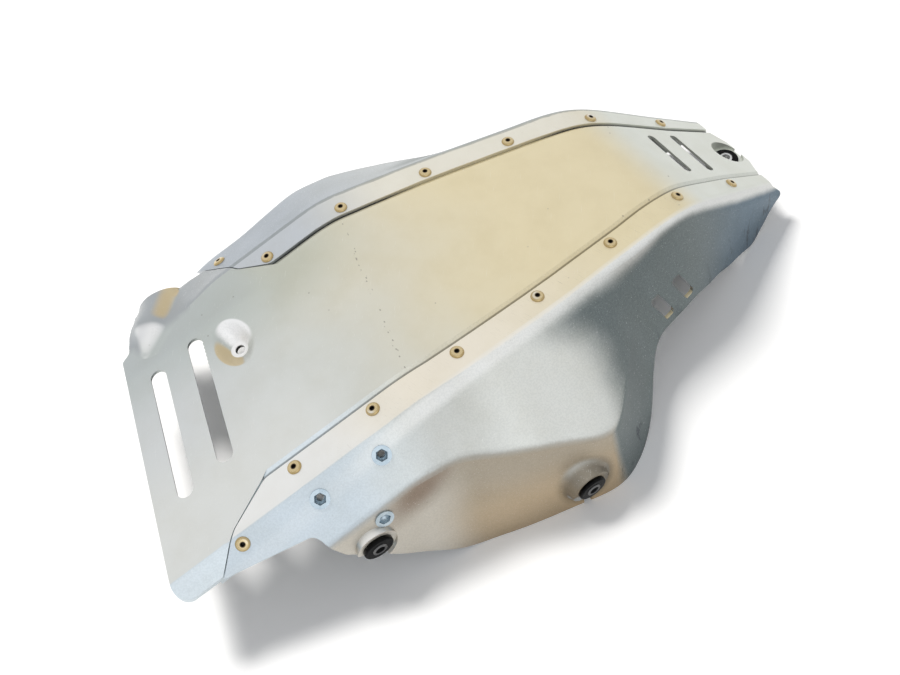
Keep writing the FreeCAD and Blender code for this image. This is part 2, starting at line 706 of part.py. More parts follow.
grip = "rivet_upset_height + 2 * sheet_gauge"
rivet = turned("Rivet", [
    ("rivet_bore_radius", "0"),
    ("rivet_upset_radius", "0"),
    ("rivet_upset_radius", "rivet_upset_height"),
    ("rivet_shank_radius", "rivet_upset_height"),
    ("rivet_shank_radius", grip),
    ("rivet_head_radius", grip),
    ("rivet_bore_radius", grip + " + rivet_head_height"),
], {5: "0.5 * rivet_head_height + 0.5 * pow( rivet_head_radius - rivet_bore_radius ; 2 ) / rivet_head_height"})
stem = turned("Stem", [
    ("0", "0"),
    ("0.7 * rivet_upset_radius", "0"),
    ("0.7 * rivet_upset_radius", "stem_head_height"),
    ("rivet_bore_radius", "stem_head_height"),
    ("rivet_bore_radius", "stem_head_height + " + grip + " + rivet_head_height - stem_recess"),
    ("0", "stem_head_height + " + grip + " + rivet_head_height - stem_recess"),
], {})
rubber_top = "2 * grommet_lip + sheet_gauge"
grommet = turned("Grommet", [
    ("sleeve_radius", "0"),
    ("grommet_radius - 0.8", "0"),
    ("grommet_radius", "0.8"),
    ("grommet_radius", "grommet_lip"),
    ("grommet_neck_radius", "grommet_lip"),
    ("grommet_neck_radius", "grommet_lip + sheet_gauge"),
    ("grommet_radius", "grommet_lip + sheet_gauge"),
    ("grommet_radius", rubber_top + " - 1.2"),
    ("grommet_radius - 1.2", rubber_top),
    ("sleeve_radius", rubber_top),
], {7: "1.2"})
sleeve_top = "sleeve_foot_height + " + rubber_top + " + sleeve_rise"
sleeve = turned("Sleeve", [
    ("sleeve_bore_radius", "0"),
    ("sleeve_foot_radius", "0"),
    ("sleeve_foot_radius", "sleeve_foot_height"),
    ("sleeve_radius", "sleeve_foot_height"),
    ("sleeve_radius", sleeve_top),
    ("sleeve_bore_radius", sleeve_top),
], {})


# Nut insert: round flange, hexagon shank, hexagon mouth over the threaded bore
def hexagon(name, radius, height, place):
    made = doc.addObject("Part::Prism", name)
    made.Polygon = 6
    made.setExpression("Circumradius", radius)
    made.setExpression("Height", height)
    made.Placement = place
    doc.recompute()
    return made


insert_length = size("insert_length")
insert_top = insert_length + size("insert_flange_height")
insert_flange = rod("InsertFlange", "Sizes.insert_flange_radius", "Sizes.insert_flange_height",
                    pointing(Vector(0, 0, insert_length), upwards))
insert_shank = hexagon("InsertShank", "Sizes.insert_shank_radius", "Sizes.insert_length", Placement())
insert_body = fuse("InsertBody", [insert_flange, insert_shank])
insert_mouth = hexagon("InsertMouth", "Sizes.insert_mouth_radius", "Sizes.insert_mouth_depth",
                       pointing(Vector(0, 0, insert_top - size("insert_mouth_depth")), upwards))
insert_bore = rod("InsertBore", "Sizes.insert_bore_radius", "Sizes.insert_length + Sizes.insert_flange_height", Placement())
insert = cut("Insert", insert_body, fuse("InsertHollow", [insert_mouth, insert_bore]))

# Holes
rivet_drill = rod("RivetDrill", "Sizes.rivet_shank_radius", "30", Placement())
long_drill = group("LongDrill", rivet_drill, long_seats, 20)
short_drill = group("ShortDrill", rivet_drill, short_seats, 20)
insert_holes = group("InsertHoles", insert_shank, insert_seats, insert_length - 4)
neck = "Sizes.grommet_neck_radius"
seat_holes = []
for seat_name, seat in wing_seats.items():
    seat_holes.append(rod(seat_name + "Hole", neck, "40", pointing(seat - outwards * 20, outwards)))
nose_hole = rod("NoseHole", neck, "40", pointing(nose_seat - upwards * 20, upwards))


notch = doc.addObject("Part::Box", "Notch")
notch.setExpression("Length", "Sizes.notch_width")
notch.Width = 40
notch.setExpression("Height", "Sizes.pan_depth + 20 - Sizes.front_grommet_depth")
notch.Placement = Placement(Vector(front_seat.x - size("notch_width") / 2, front_seat.y - 20, -below), Rotation())
half_width = size("window_width") / 2
half_height = size("window_height") / 2
half_lean = size("window_lean") / 2
windows = []
for index in range(2):
    middle = size("window_first") + index * size("window_pitch")
    head = middle - half_lean
    foot = middle + half_lean
    top = half_height - size("window_depth")
    bottom = -half_height - size("window_depth")
    corners = [(head - half_width, top), (head + half_width, top), (foot + half_width, bottom), (foot - half_width, bottom)]
    windows.append(side_prism(f"Window{index}", [(x, z, size("window_corner")) for x, z in corners]))
doc.recompute()


def slot(name, middle, direction, length, width):
    onward = direction * ((length - width) / 2)
    ends = [middle - onward, middle + onward]
    place = Vector(0, 0, -below)
    rounds = [Part.makeCylinder(width / 2, below + above, end + place) for end in ends]
    side = Vector(-direction.y, direction.x, 0) * (width / 2)
    corners = [ends[0] + side, ends[1] + side, ends[1] - side, ends[0] - side, ends[0] + side]
    bar = Part.Face(Part.makePolygon([corner + place for corner in corners])).extrude(Vector(0, 0, below + above))
    return feature(name, bar.multiFuse(rounds).removeSplitter())


tail_line = Vector(math.sin(tail_turn), math.cos(tail_turn), 0)
inner_middle = Vector(-size("tail_slot_inner"), size("inner_slot_shift"), 0)
outer_middle = Vector(-size("tail_slot_inner") - size("tail_slot_pitch"), 0, 0)
square_line = Vector(0, 1, 0)
nose_inner = Vector(size("nose_slot_inner"), 0, 0)
nose_outer = Vector(size("nose_slot_inner") + size("nose_slot_pitch"), 0, 0)
slots = [
    slot("TailSlotInner", inner_middle, tail_line, size("tail_slot_length"), size("tail_slot_width")),
    slot("TailSlotOuter", outer_middle, tail_line, size("tail_slot_length"), size("tail_slot_width")),
    slot("NoseSlotInner", nose_inner, square_line, size("nose_slot_length"), size("nose_slot_width")),
    slot("NoseSlotOuter", nose_outer, square_line, size("nose_slot_length"), size("nose_slot_width")),
]
dimple_hole = rod("DimpleHole", "Sizes.dimple_hole_radius", "30", pointing(dimple_seat - tail_normal * 10, tail_normal))

long_holes = fuse("LongHoles", [long_drill, insert_holes, notch] + seat_holes + windows)
plate_holes = fuse("PlateHoles", [long_drill, short_drill, nose_hole, dimple_hole] + slots)
long_panel = cut("LongPanel", long_blank, long_holes)
short_panel = cut("ShortPanel", short_blank, short_drill)
centre_plate = cut("CentrePlate", plate_blank, plate_holes)

# Fasteners and bushings in their places
rivet_sink = size("rivet_upset_height") + 2 * gauge
stem_sink = rivet_sink + size("stem_head_height")
rubber_sink = gauge + size("grommet_lip")
sleeve_sink = rubber_sink + size("sleeve_foot_height")
pieces = {
    "centre_plate": centre_plate,
    "long_side_panel": long_panel,
    "short_side_panel": short_panel,
    "rivets_long_side": group("RivetsLong", rivet, long_seats, rivet_sink),
    "rivets_short_side": group("RivetsShort", rivet, short_seats, rivet_sink),
    "rivet_stems_long_side": group("StemsLong", stem, long_seats, stem_sink),
    "rivet_stems_short_side": group("StemsShort", stem, short_seats, stem_sink),
    "nose_grommet": group("NoseGrommet", grommet, [(nose_seat, upwards)], rubber_sink),
    "front_wing_grommet": group("FrontGrommet", grommet, [(front_seat, outwards)], rubber_sink),
    "rear_wing_grommet": group("RearGrommet", grommet, [(rear_seat, outwards)], rubber_sink),
    "nose_sleeve": group("NoseSleeve", sleeve, [(nose_seat, upwards)], sleeve_sink),
    "front_wing_sleeve": group("FrontSleeve", sleeve, [(front_seat, outwards)], sleeve_sink),
    "rear_wing_sleeve": group("RearSleeve", sleeve, [(rear_seat, outwards)], sleeve_sink),
    "flank_inserts": group("Inserts", insert, insert_seats, insert_length),
}

# The frame: the bottom centre of the pan's box
sheets = ("centre_plate", "long_side_panel", "short_side_panel")
corners = [point for name in sheets for point in pieces[name].Shape.tessellate(0.05)[0]]
middle_x = (min(point.x for point in corners) + max(point.x for point in corners)) / 2
middle_y = (min(point.y for point in corners) + max(point.y for point in corners)) / 2
lowest = min(point.z for point in corners)
shift = Vector(-middle_x, -middle_y, -lowest)
nodes = []
for name, source in pieces.items():
    node = doc.addObject("Part::Feature", "Node")
    node.Label = name
    node.Shape = source.Shape.copy()
    place = node.Placement
    node.Placement = Placement(shift + place.Base, place.Rotation)
    nodes.append(node)
doc.recompute()
for made in doc.Objects:
    if "Invalid" in made.State or "Error" in made.State:
        raise RuntimeError(f"{made.Name} didn't build")
for node in nodes:
    if node.Shape.isNull() or not node.Shape.isValid():
        raise RuntimeError(f"{node.Label} isn't a valid shape")
os.makedirs("parts", exist_ok=True)
for node in nodes:
    node.Shape.exportStep(f"parts/{node.Label}.step")
    print(node.Label, len(node.Shape.Solids), round(node.Shape.Volume))
print("shift", [round(value, 3) for value in shift])
for name, place, way in (("nose", nose_seat, upwards), ("front", front_seat, outwards), ("rear", rear_seat, outwards),
                         ("dimple", dimple_seat, tail_normal)):
    print(name, [round(value, 3) for value in place + shift], [round(value, 5) for value in way])
for place, way in insert_seats:
    print("insert", [round(value, 3) for value in place + shift], [round(value, 5) for value in way])
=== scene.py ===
import json
import math

import bmesh
import bpy
import numpy as np
from mathutils import Matrix, Vector
from mathutils.bvhtree import BVHTree


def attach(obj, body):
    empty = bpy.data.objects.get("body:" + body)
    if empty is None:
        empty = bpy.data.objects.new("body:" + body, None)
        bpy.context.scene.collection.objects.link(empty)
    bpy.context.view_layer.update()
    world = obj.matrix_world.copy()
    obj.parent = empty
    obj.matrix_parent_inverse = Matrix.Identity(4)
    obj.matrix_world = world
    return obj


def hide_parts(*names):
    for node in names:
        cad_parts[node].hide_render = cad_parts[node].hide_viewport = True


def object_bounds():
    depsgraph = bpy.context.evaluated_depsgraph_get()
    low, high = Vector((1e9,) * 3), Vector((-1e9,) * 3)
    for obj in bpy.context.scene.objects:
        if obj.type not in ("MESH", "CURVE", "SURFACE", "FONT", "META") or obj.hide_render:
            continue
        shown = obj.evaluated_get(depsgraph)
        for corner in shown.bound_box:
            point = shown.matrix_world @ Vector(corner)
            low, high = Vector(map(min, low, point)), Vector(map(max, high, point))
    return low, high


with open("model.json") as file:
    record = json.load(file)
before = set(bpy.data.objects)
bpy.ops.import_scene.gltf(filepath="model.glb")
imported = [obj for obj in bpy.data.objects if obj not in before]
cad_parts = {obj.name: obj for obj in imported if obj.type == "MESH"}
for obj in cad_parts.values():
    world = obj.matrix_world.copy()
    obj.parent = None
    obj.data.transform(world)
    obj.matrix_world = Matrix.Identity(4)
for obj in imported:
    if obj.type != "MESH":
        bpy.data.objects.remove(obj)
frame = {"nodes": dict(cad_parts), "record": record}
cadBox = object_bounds()
nodes = frame["nodes"]
mounts = {mount["name"]: mount for mount in frame["record"]["mounts"]}
print("frame loaded:", len(nodes), "nodes")

# the pan in metres from the middle of the deck's outer face, which is worked back from the nose bolt's bore
pan = {
    "noseBoltAlong": 0.278,
    "noseBoltHeight": -0.0712,
    "tailBend": -0.0455,  # along the middle line
    "tailSkew": math.radians(12),
    "noseBend": 0.167,
    "foldHalf": 0.0861,  # half width at the flanges' folds
    "foldTaper": 0.118,  # how the folds close in towards the nose
    "foldBow": 0.1,
}
noseBolt = Vector((pan["noseBoltAlong"], 0, pan["noseBoltHeight"]))
deckMiddle = Vector(mounts["nose_bolt"]["pos_m"]) - noseBolt
print("deck middle at", [round(value, 4) for value in deckMiddle])

# the line where a flange's edge lies on the deck
seam = {
    "edgeHalf": 0.080,  # faces nearer the middle line than this belong to a flange's edge
    "facing": 0.6,
    "upright": 0.45,
    "window": 0.03,  # stretch in which the edge is the innermost point
    "depth": 0.003,  # points further out are in the rivets' holes
    "shift": 0.05,  # added to the attribute, so that a mesh without it has no seam
    "start": 0.001,
}


def closingIn(along):  # how much the folds have closed in at a place along the pan
    return along * pan["foldTaper"] + along * along * pan["foldBow"]


class Wire:  # a socket that takes part in sums
    def __init__(self, shader, socket):
        self.shader = shader
        self.socket = socket

    def work(self, operation, first, second=0.0):
        return self.shader.node("ShaderNodeMath", {"operation": operation}, {0: first, 1: second})

    def __add__(self, other):
        return self.work("ADD", self, other)

    def __radd__(self, other):
        return self.work("ADD", other, self)

    def __sub__(self, other):
        return self.work("SUBTRACT", self, other)

    def __rsub__(self, other):
        return self.work("SUBTRACT", other, self)

    def __mul__(self, other):
        return self.work("MULTIPLY", self, other)

    def __rmul__(self, other):
        return self.work("MULTIPLY", other, self)

    def __pow__(self, other):
        return self.work("POWER", self, other)

    def __neg__(self):
        return self.work("MULTIPLY", self, -1.0)

    def __abs__(self):
        return self.work("ABSOLUTE", self)

    def most(self, other):
        return self.work("MAXIMUM", self, other)


class Shader:  # one material's nodes, or the world's
    def __init__(self, name, family=bpy.data.materials):
        self.material = family.new(name)
        self.material.use_nodes = True
        self.tree = self.material.node_tree
        self.tree.nodes.clear()

    def node(self, kind, settings, inputs, output=0):
        made = self.tree.nodes.new(kind)
        for name, value in settings.items():
            setattr(made, name, value)
        for name, value in inputs.items():
            if isinstance(value, Wire):
                self.tree.links.new(value.socket, made.inputs[name])
            else:
                made.inputs[name].default_value = value
        return Wire(self, made.outputs[output]) if made.outputs else None

    def place(self, turn=0.0, scale=(1, 1, 1)):  # object coordinates from the deck's middle, in metres
        coordinates = self.node("ShaderNodeTexCoord", {}, {}, "Object")
        inputs = {0: coordinates, 1: tuple(deckMiddle)}
        shifted = self.node("ShaderNodeVectorMath", {"operation": "SUBTRACT"}, inputs)
        if turn == 0.0 and scale == (1, 1, 1):
            return shifted
        turned = self.node("ShaderNodeMapping", {}, {"Vector": shifted, "Rotation": (0, 0, turn)})
        return self.node("ShaderNodeMapping", {}, {"Vector": turned, "Scale": scale})

    def axes(self, vector):
        split = self.node("ShaderNodeSeparateXYZ", {}, {0: vector}).socket.node
        return [Wire(self, output) for output in split.outputs]

    def distance(self, vector, point):
        inputs = {0: vector, 1: tuple(point)}
        return self.node("ShaderNodeVectorMath", {"operation": "DISTANCE"}, inputs, "Value")

    def attribute(self, name):
        return self.node("ShaderNodeAttribute", {"attribute_name": name}, {}, "Fac")

    def noise(self, vector, scale, detail=3.0, roughness=0.55):
        inputs = {"Vector": vector, "Scale": scale, "Detail": detail, "Roughness": roughness}
        return self.node("ShaderNodeTexNoise", {}, inputs)

    def cells(self, vector, scale):
        return self.node("ShaderNodeTexVoronoi", {}, {"Vector": vector, "Scale": scale})

    def seen(self):  # 1 on the rays that see the background, straight or in metal
        kinds = ("Is Camera Ray", "Is Glossy Ray", "Is Transmission Ray")
        straight, mirrored, through = [self.node("ShaderNodeLightPath", {}, {}, kind) for kind in kinds]
        return straight.most(mirrored).most(through)

    def step(self, value, bounds):  # smooth 0 to 1 from the first bound to the second
        inputs = {"Value": value, "From Min": bounds[0], "From Max": bounds[1]}
        return self.node("ShaderNodeMapRange", {"interpolation_type": "SMOOTHSTEP", "clamp": True}, inputs)

    def mix(self, factor, first, second, blend="MIX"):
        settings = {"data_type": "RGBA", "blend_type": blend, "clamp_factor": True}
        first, second = [value if isinstance(value, Wire) else (*value, 1) for value in (first, second)]
        return self.node("ShaderNodeMix", settings, {0: factor, 6: first, 7: second}, 2)  # its colour sockets

    def bump(self, height, distance, strength):
        return self.node("ShaderNodeBump", {}, {"Height": height, "Distance": distance, "Strength": strength})

    def finish(self, inputs):
        surface = self.node("ShaderNodeBsdfPrincipled", {}, inputs)
        self.node("ShaderNodeOutputMaterial", {}, {"Surface": surface})
        return self.material


sheetLook = {
    "roughness": 0.44,
    "metallic": 0.7,
    "bare": (0.65, 0.67, 0.64),  # the deck under its painted reflections and tints
    "cream": (0.86, 0.80, 0.68),  # the flanges by the rivets
    "tan": (0.50, 0.43, 0.33),  # painted reflection and shade on the steep wall
    "dull": (0.17, 0.20, 0.20),  # painted shade on the flanks that face the nose
    "coats": {  # colour, strength, and how it blends
        # painted reflection and shade on the deck: warm in the middle, cool towards the tail, darker on the far
        # tail, pale on the nose's slope
        "deckWarm": ((0.80, 0.705, 0.475), 1),
        "deckTail": ((0.64, 0.66, 0.66), 1),
        "farTail": ((0.80, 0.83, 0.82), 1, "MULTIPLY"),
        "nearTail": ((0.75, 0.76, 0.73), 0.8),
        "noseSlope": ((0.76, 0.78, 0.72), 1),
        "flangeTail": ((0.84, 0.84, 0.82), 1),
        "farFlange": ((0.82, 0.79, 0.69), 1),
        "greyTail": ((0.56, 0.59, 0.62), 1),
        # painted reflection and shade on the flanks: pale, a grey far bulge, bluish far tail, a shaded valley,
        # blue white towards the tail
        "pale": ((0.74, 0.75, 0.71), 1),
        "farBulge": ((0.40, 0.43, 0.45), 0.8),
        "farBlue": ((0.82, 0.85, 0.92), 1, "MULTIPLY"),
        "valleyShade": ((0.80, 0.80, 0.80), 1, "MULTIPLY"),
        "blueWhite": ((0.61, 0.68, 0.73), 1),
        "tailFlank": ((0.72, 0.79, 0.83), 1),
        # painted reflection and shade on the long panel's steep wall: golden low down, pale towards the tail, a
        # shade band, a shadow under the rear shoulder, shade on the front grommet's collar
        "tanLow": ((0.64, 0.48, 0.29), 1),
        "wallPale": ((0.82, 0.78, 0.70), 1),
        "wallShade": ((0.33, 0.30, 0.25), 0.45),
        "shoulderShadow": ((0.22, 0.15, 0.10), 0.85),
        "seat": ((0.21, 0.175, 0.125), 0.9),
        # painted bluish reflection at the nose end, painted highlight along the long panel's fold; the scuffs
        # are marks on the metal
        "noseBlue": ((0.14, 0.20, 0.25), 1),
        "foldHighlight": ((0.93, 0.93, 0.91), 1),
        "scuff": ((0.035, 0.045, 0.062), 0.7),
        # painted shade in the seam gaps and along the short panel's fold
        "gap": ((0.035, 0.034, 0.032), 1),
        "shortFoldShade": ((0.17, 0.20, 0.20), 0.55),
        # on the pressings: painted shade on the vault, painted highlight, painted warm reflection, painted
        # shade in the dimple's bore
        "vault": ((0.38, 0.40, 0.42), 0.85),
        "pressWhite": ((0.92, 0.92, 0.92), 1),
        "gold": ((0.62, 0.49, 0.27), 0.8),
        "bore": ((0.08, 0.08, 0.075), 1),
        "inside": ((0.50, 0.51, 0.50), 1),
        "mottle": ((0.93, 0.92, 0.89), 0.6, "MULTIPLY"),
        "grit": ((0.60, 0.62, 0.63), 1, "MULTIPLY"),
        "scratch": ((0.94, 0.94, 0.92), 1),
        "rub": ((0.33, 0.30, 0.25), 0.30),
        "pit": ((0.22, 0.20, 0.17), 0.6),
    },
    "fades": {  # where a mask starts and where it is full, and how far the clouds move it
        "panelSide": (0.3, 0.7),
        # along, across and down the pan, in metres from the deck's middle
        "deckWarm": (-0.13, 0.07, 1.0),
        "deckTail": (0.09, 0.20, 0.4),
        "farSide": (0.0, 0.06, 0.3),
        "farTail": (0.0, 0.07),
        "nearSide": (-0.01, 0.06, 0.3),
        "nearTail": (0.07, 0.13),
        "nosedown": (-0.012, 0.030),
        "tailward": (0.055, 0.13, 0.6),
        "flangeWarm": (-0.03, 0.13),
        "greyTail": (-0.02, 0.06),
        "farBlue": (-0.03, 0.07),
        "valleyShade": (0.008, 0.042),
        "flankSide": (0.055, 0.075),
        "cornerAlong": (0.0, 0.03),
        "tanLow": (0.042, 0.080, 0.2),
        "wallPale": (0.045, 0.085, 0.3),
        "shoulder": (0.002, 0.019, 0.1),
        "seat": (0.015, 0.024),
        "quicker": (0.09, 0.19),
        "beyondFold": (-0.001, 0.011),
        "besideFold": (0.004, 0.036),
        "noseward": (0.048, 0.104, 0.5),
        "noseBlue": (0.17, 0.27),
        "foldLine": (0.0015, 0.0065),
        "scuffDown": (0.045, 0.085),
        "farGap": (-0.0016, -0.0010),
        "nearGap": (-0.0026, -0.0020),
        "middleLine": (-0.002, 0.002),
        "pressAlong": (0.09, 0.11),
        "pressAcross": (-0.02, 0.0),
        "crownAlong": (0.146, 0.154),
        "crownAcross": (0.070, 0.080),
        "vaultAcross": (0.05, 0.06),
        "dimpleFace": (0.0062, 0.0068),
        "dimpleBore": (0.0034, 0.0038),
        "dotLine": (0.0008, 0.0016),
        # parts of the normal
        "inward": (0.15, 0.45),
        "leaning": (0.26, 0.42),
        "flat": (0.62, 0.78),
        "cornerTurn": (0.12, 0.42),
        "lyingOut": (0.28, 0.66),
        "foldTurn": (0.02, 0.14),
        "vault": (0.08, 0.26),
        "facingUp": (0.3, 0.5),
        "bright": (0.15, 0.38),
        "goldReflection": (0.12, 0.36),
        "inside": (-0.20, -0.06),
        "top": (0.90, 0.985),
        # levels of a noise
        "scuff": (0.55, 0.64),
        "mottle": (0.35, 0.75),
        "grit": (0.42, 0.60),
        "cross": (0.66, 0.74),
        "brush": (0.68, 0.78),
        "rub": (0.62, 0.72),
        "rubCloud": (0.46, 0.58),
        "dot": (0.18, 0.30),
        "stray": (0.03, 0.06),
        "strayCloud": (0.5, 0.62),
    },
    "bands": {  # where a mask rises, and where it falls again
        "wallShade": (0.12, 0.30, 0.50, 0.72),
        "closeFlange": (0.0, 0.04, 0.11, 0.15),  # the far flange lies closer there
        "shortFoldShade": (0.08, 0.18, 0.34, 0.46),
    },
    "noises": {  # scale, detail, roughness
        "cloud": (9.0, 4.0, 0.55),
        "patch": (34.0, 5.0, 0.6),
        "grit": (850.0, 2.0, 0.6),
    },
    "grains": {  # turn in degrees, scale each way, detail, roughness
        "streak": (0, (95, 95, 34), 4.0, 0.65),
        "brush": (33, (36, 1680, 1680), 3.0, 0.65),
        "cross": (-52, (56, 2080, 2080), 2.0, 0.6),
        "rub": (70, (104, 2480, 2480), 2.0, 0.6),
    },
    "dotScale": (520, 300, 520),
    "strayScale": (70, 70, 70),
    "warmSkew": 0.10,  # how far the warm film's edge leans over the deck
    "noseBlueDrop": 0.3,
    "vaultSpread": 0.35,
    "brightWay": (-0.45, -0.90),  # along and across, to the tail's near corner
    "goldReflectionSkew": 0.6,
    "dotsPastBend": 0.004,
    "drift": 0.10,
    "valleyAlong": -0.052,
    "valleyDrift": 0.3,
    "shoulderAt": (-0.082, -0.036),  # along, height
    "shoulderLean": (0.905, 0.425),
    "shoulderSlim": 0.2,
    "noseLean": 0.06,  # how far a slope that faces the nose takes the painted nose shade back
    "noseLeanSteep": 0.11,
    "noseBesideFold": 0.034,
    "noseQuicker": 2.4,
    "noseRagged": 0.004,
    "foldOut": 0.001,
    "foldHighlight": 0.6,
    "foldHighlightTail": 0.5,  # what the painted fold highlight loses at the tail
    "closeFlange": 0.6,
    "nearGap": 0.55,
    "gritFlank": 0.16,
    "gritNose": 0.20,
    "scratch": 0.26,
    "scratchFlank": 0.30,
    "roughPatch": 0.12,
    "roughScratch": 0.05,
    "bump": (0.00025, 0.35),  # depth and strength
    "bumpBrush": 0.5,
    "bumpPatch": 0.5,
    "bumpPits": 1.5,
}


class SheetShader(Shader):  # the metal of the three sheets, painted coat by coat; most coats are painted reflection, highlight and shade, the rest wear
    def __init__(self, name):
        super().__init__(name)
        self.color = sheetLook["bare"]
        self.position = self.place()
        self.along, self.across, self.height = self.axes(self.position)
        normal = self.node("ShaderNodeNewGeometry", {}, {}, "Normal")
        self.slopeX, self.slopeY, self.slopeZ = self.axes(normal)
        self.cloud = self.softNoise("cloud")
        self.patch = self.softNoise("patch")
        self.drift = (self.cloud - 0.5) * sheetLook["drift"]
        self.side = self.attribute("panel_side")  # 1 on the long panel, -1 on the short one, 0 on the plate
        self.longPanel = self.fade(self.side, "panelSide")
        self.shortPanel = self.fade(-self.side, "panelSide")
        self.panel = self.longPanel.most(self.shortPanel)
        self.nosedown = self.fade(self.along - pan["noseBend"], "nosedown")
        self.tailward = self.fade(-self.along, "tailward")
        self.inward = self.fade(self.side * self.slopeY, "inward")  # a flange's own edge, and a wall's back
        leaning = self.fade(abs(self.slopeY), "leaning").most(1 - self.fade(self.slopeZ, "flat"))
        self.flank = leaning * (1 - self.inward)
        self.steep = 1 - self.fade(self.slopeZ, "lyingOut")
        corner = self.fade(self.slopeX, "cornerTurn") * self.fade(self.along, "cornerAlong")
        self.wall = self.longPanel * (1 - self.inward) * (1 - corner)
        frontSeat = Vector(mounts["front_wing_bolt"]["pos_m"]) - deckMiddle
        self.seat = 1 - self.fade(self.distance(self.position, frontSeat), "seat")
        self.pastFold = abs(self.across) - (pan["foldHalf"] - closingIn(self.along))
        self.noseward = self.facingNose()

    def softNoise(self, name):
        return self.noise(self.position, *sheetLook["noises"][name])

    def grain(self, name):  # a noise drawn out one way
        turn, scale, detail, roughness = sheetLook["grains"][name]
        return self.noise(self.place(math.radians(turn), scale), 1.0, detail, roughness)

    def fade(self, value, name):
        low, high, *wander = sheetLook["fades"][name]
        return self.step(value + self.drift * wander[0] if wander else value, (low, high))

    def band(self, value, name):
        bounds = sheetLook["bands"][name]
        return self.step(value, bounds[:2]) * (1 - self.step(value, bounds[2:]))

    def over(self, color, mask, name):
        tint, strength, *blend = sheetLook["coats"][name]
        return self.mix(mask if strength == 1 else mask * strength, color, tint, *blend)

    def paint(self, mask, name):
        self.color = self.over(self.color, mask, name)

    def facingNose(self):  # the panels' flanks from where they turn towards the nose, where the nose shade is painted
        quicker = 1 + self.fade(self.along, "quicker") * sheetLook["noseQuicker"]
        ragged = (self.patch - 0.5) * sheetLook["noseRagged"]
        beyond = self.fade(self.pastFold * quicker + ragged, "beyondFold")
        lean = sheetLook["noseLean"] + self.steep * sheetLook["noseLeanSteep"]
        beside = (1 - self.fade(self.pastFold, "besideFold")) * sheetLook["noseBesideFold"]
        turned = self.fade(self.along + self.slopeX * lean + beside, "noseward")
        return turned * self.flank * self.panel * beyond * (1 - self.seat)

    def deckReflections(self):  # painted reflections: warm on the middle of the deck, cool towards the tail, pale on the nose's slope, with painted shade over the far tail
        self.paint(self.fade(self.along + self.across * sheetLook["warmSkew"], "deckWarm"), "deckWarm")
        self.paint(self.fade(-self.along, "deckTail"), "deckTail")
        self.paint(self.fade(self.across, "farSide") * self.fade(-self.along, "farTail"), "farTail")
        self.paint(self.fade(-self.across, "nearSide") * self.fade(-self.along, "nearTail"), "nearTail")
        self.paint(self.nosedown, "noseSlope")

    def flangeTints(self):  # cream by the rivets, under the deck's painted warm reflection, white at the long panel's tail, grey at the short one's
        cream = self.over(sheetLook["cream"], self.fade(self.along, "flangeWarm"), "deckWarm")
        cream = self.over(cream, self.tailward * self.longPanel, "flangeTail")
        cream = self.over(cream, self.shortPanel, "farFlange")
        cream = self.over(cream, self.shortPanel * self.fade(-self.along, "greyTail"), "greyTail")
        self.color = self.mix(self.panel * (1 - self.nosedown), self.color, cream)

    def flankReflectionsAndShade(self):  # painted reflection and shade on the flanks: pale bulges, a grey far one, bluish towards the far tail, a shaded valley, blue white towards the tail
        self.paint(self.flank * self.panel, "pale")
        self.paint(self.flank * self.shortPanel, "farBulge")
        self.paint(self.flank * self.shortPanel * self.fade(-self.along, "farBlue"), "farBlue")
        # painted shade in the valley between the fold and the bulge
        fromValley = abs(self.along - sheetLook["valleyAlong"] + self.drift * sheetLook["valleyDrift"])
        self.paint(self.flank * self.longPanel * (1 - self.fade(fromValley, "valleyShade")), "valleyShade")
        tailFlank = self.flank * self.tailward * self.fade(-self.across, "flankSide")
        self.paint(tailFlank, "blueWhite")
        self.paint(tailFlank * (1 - self.panel), "tailFlank")

    def wallReflectionsAndShade(self):  # painted reflection and shade on the long panel's steep wall: tan, golden low down, pale towards the tail, with a painted shade band, a painted shadow under the rear shoulder and painted shade on the front grommet's collar
        wallLight = self.over(sheetLook["tan"], self.fade(-self.height, "tanLow"), "tanLow")
        wallLight = self.over(wallLight, self.fade(-self.along, "wallPale"), "wallPale")
        self.color = self.mix(self.steep * self.wall, self.color, wallLight)
        self.paint(self.band(self.slopeZ, "wallShade") * self.wall, "wallShade")
        # painted shadow under the rear shoulder
        along = self.along - sheetLook["shoulderAt"][0]
        height = self.height - sheetLook["shoulderAt"][1]
        cosine, sine = sheetLook["shoulderLean"]
        lengthwise = along * cosine + height * sine
        crosswise = height * cosine - along * sine
        away = (lengthwise * lengthwise * sheetLook["shoulderSlim"] + crosswise * crosswise) ** 0.5
        self.paint(self.steep * self.wall * (1 - self.fade(away, "shoulder")), "shoulderShadow")
        # painted shade on the front grommet's collar, which faces up
        self.paint(self.seat * self.longPanel, "seat")

    def noseShadeAndScuffs(self):  # painted shade on the flanks that face the nose, a painted bluish reflection at the end, a painted highlight along the long panel's fold, and scuffs low on the near flank
        bluish = self.fade(self.along - self.height * sheetLook["noseBlueDrop"], "noseBlue")
        dull = self.over(sheetLook["dull"], bluish, "noseBlue")
        self.color = self.mix(self.noseward, self.color, dull)
        # painted highlight along the long panel's fold
        fold = 1 - self.fade(abs(self.pastFold - sheetLook["foldOut"]), "foldLine")
        fold = fold * self.longPanel * self.fade(-self.slopeY, "foldTurn") * (1 - self.noseward)
        highlightStrength = sheetLook["foldHighlight"] - self.tailward * sheetLook["foldHighlightTail"]
        self.paint(fold * highlightStrength, "foldHighlight")
        scuff = self.fade(self.grain("streak"), "scuff") * self.fade(-self.height, "scuffDown")
        self.paint(scuff * self.noseward * self.longPanel, "scuff")

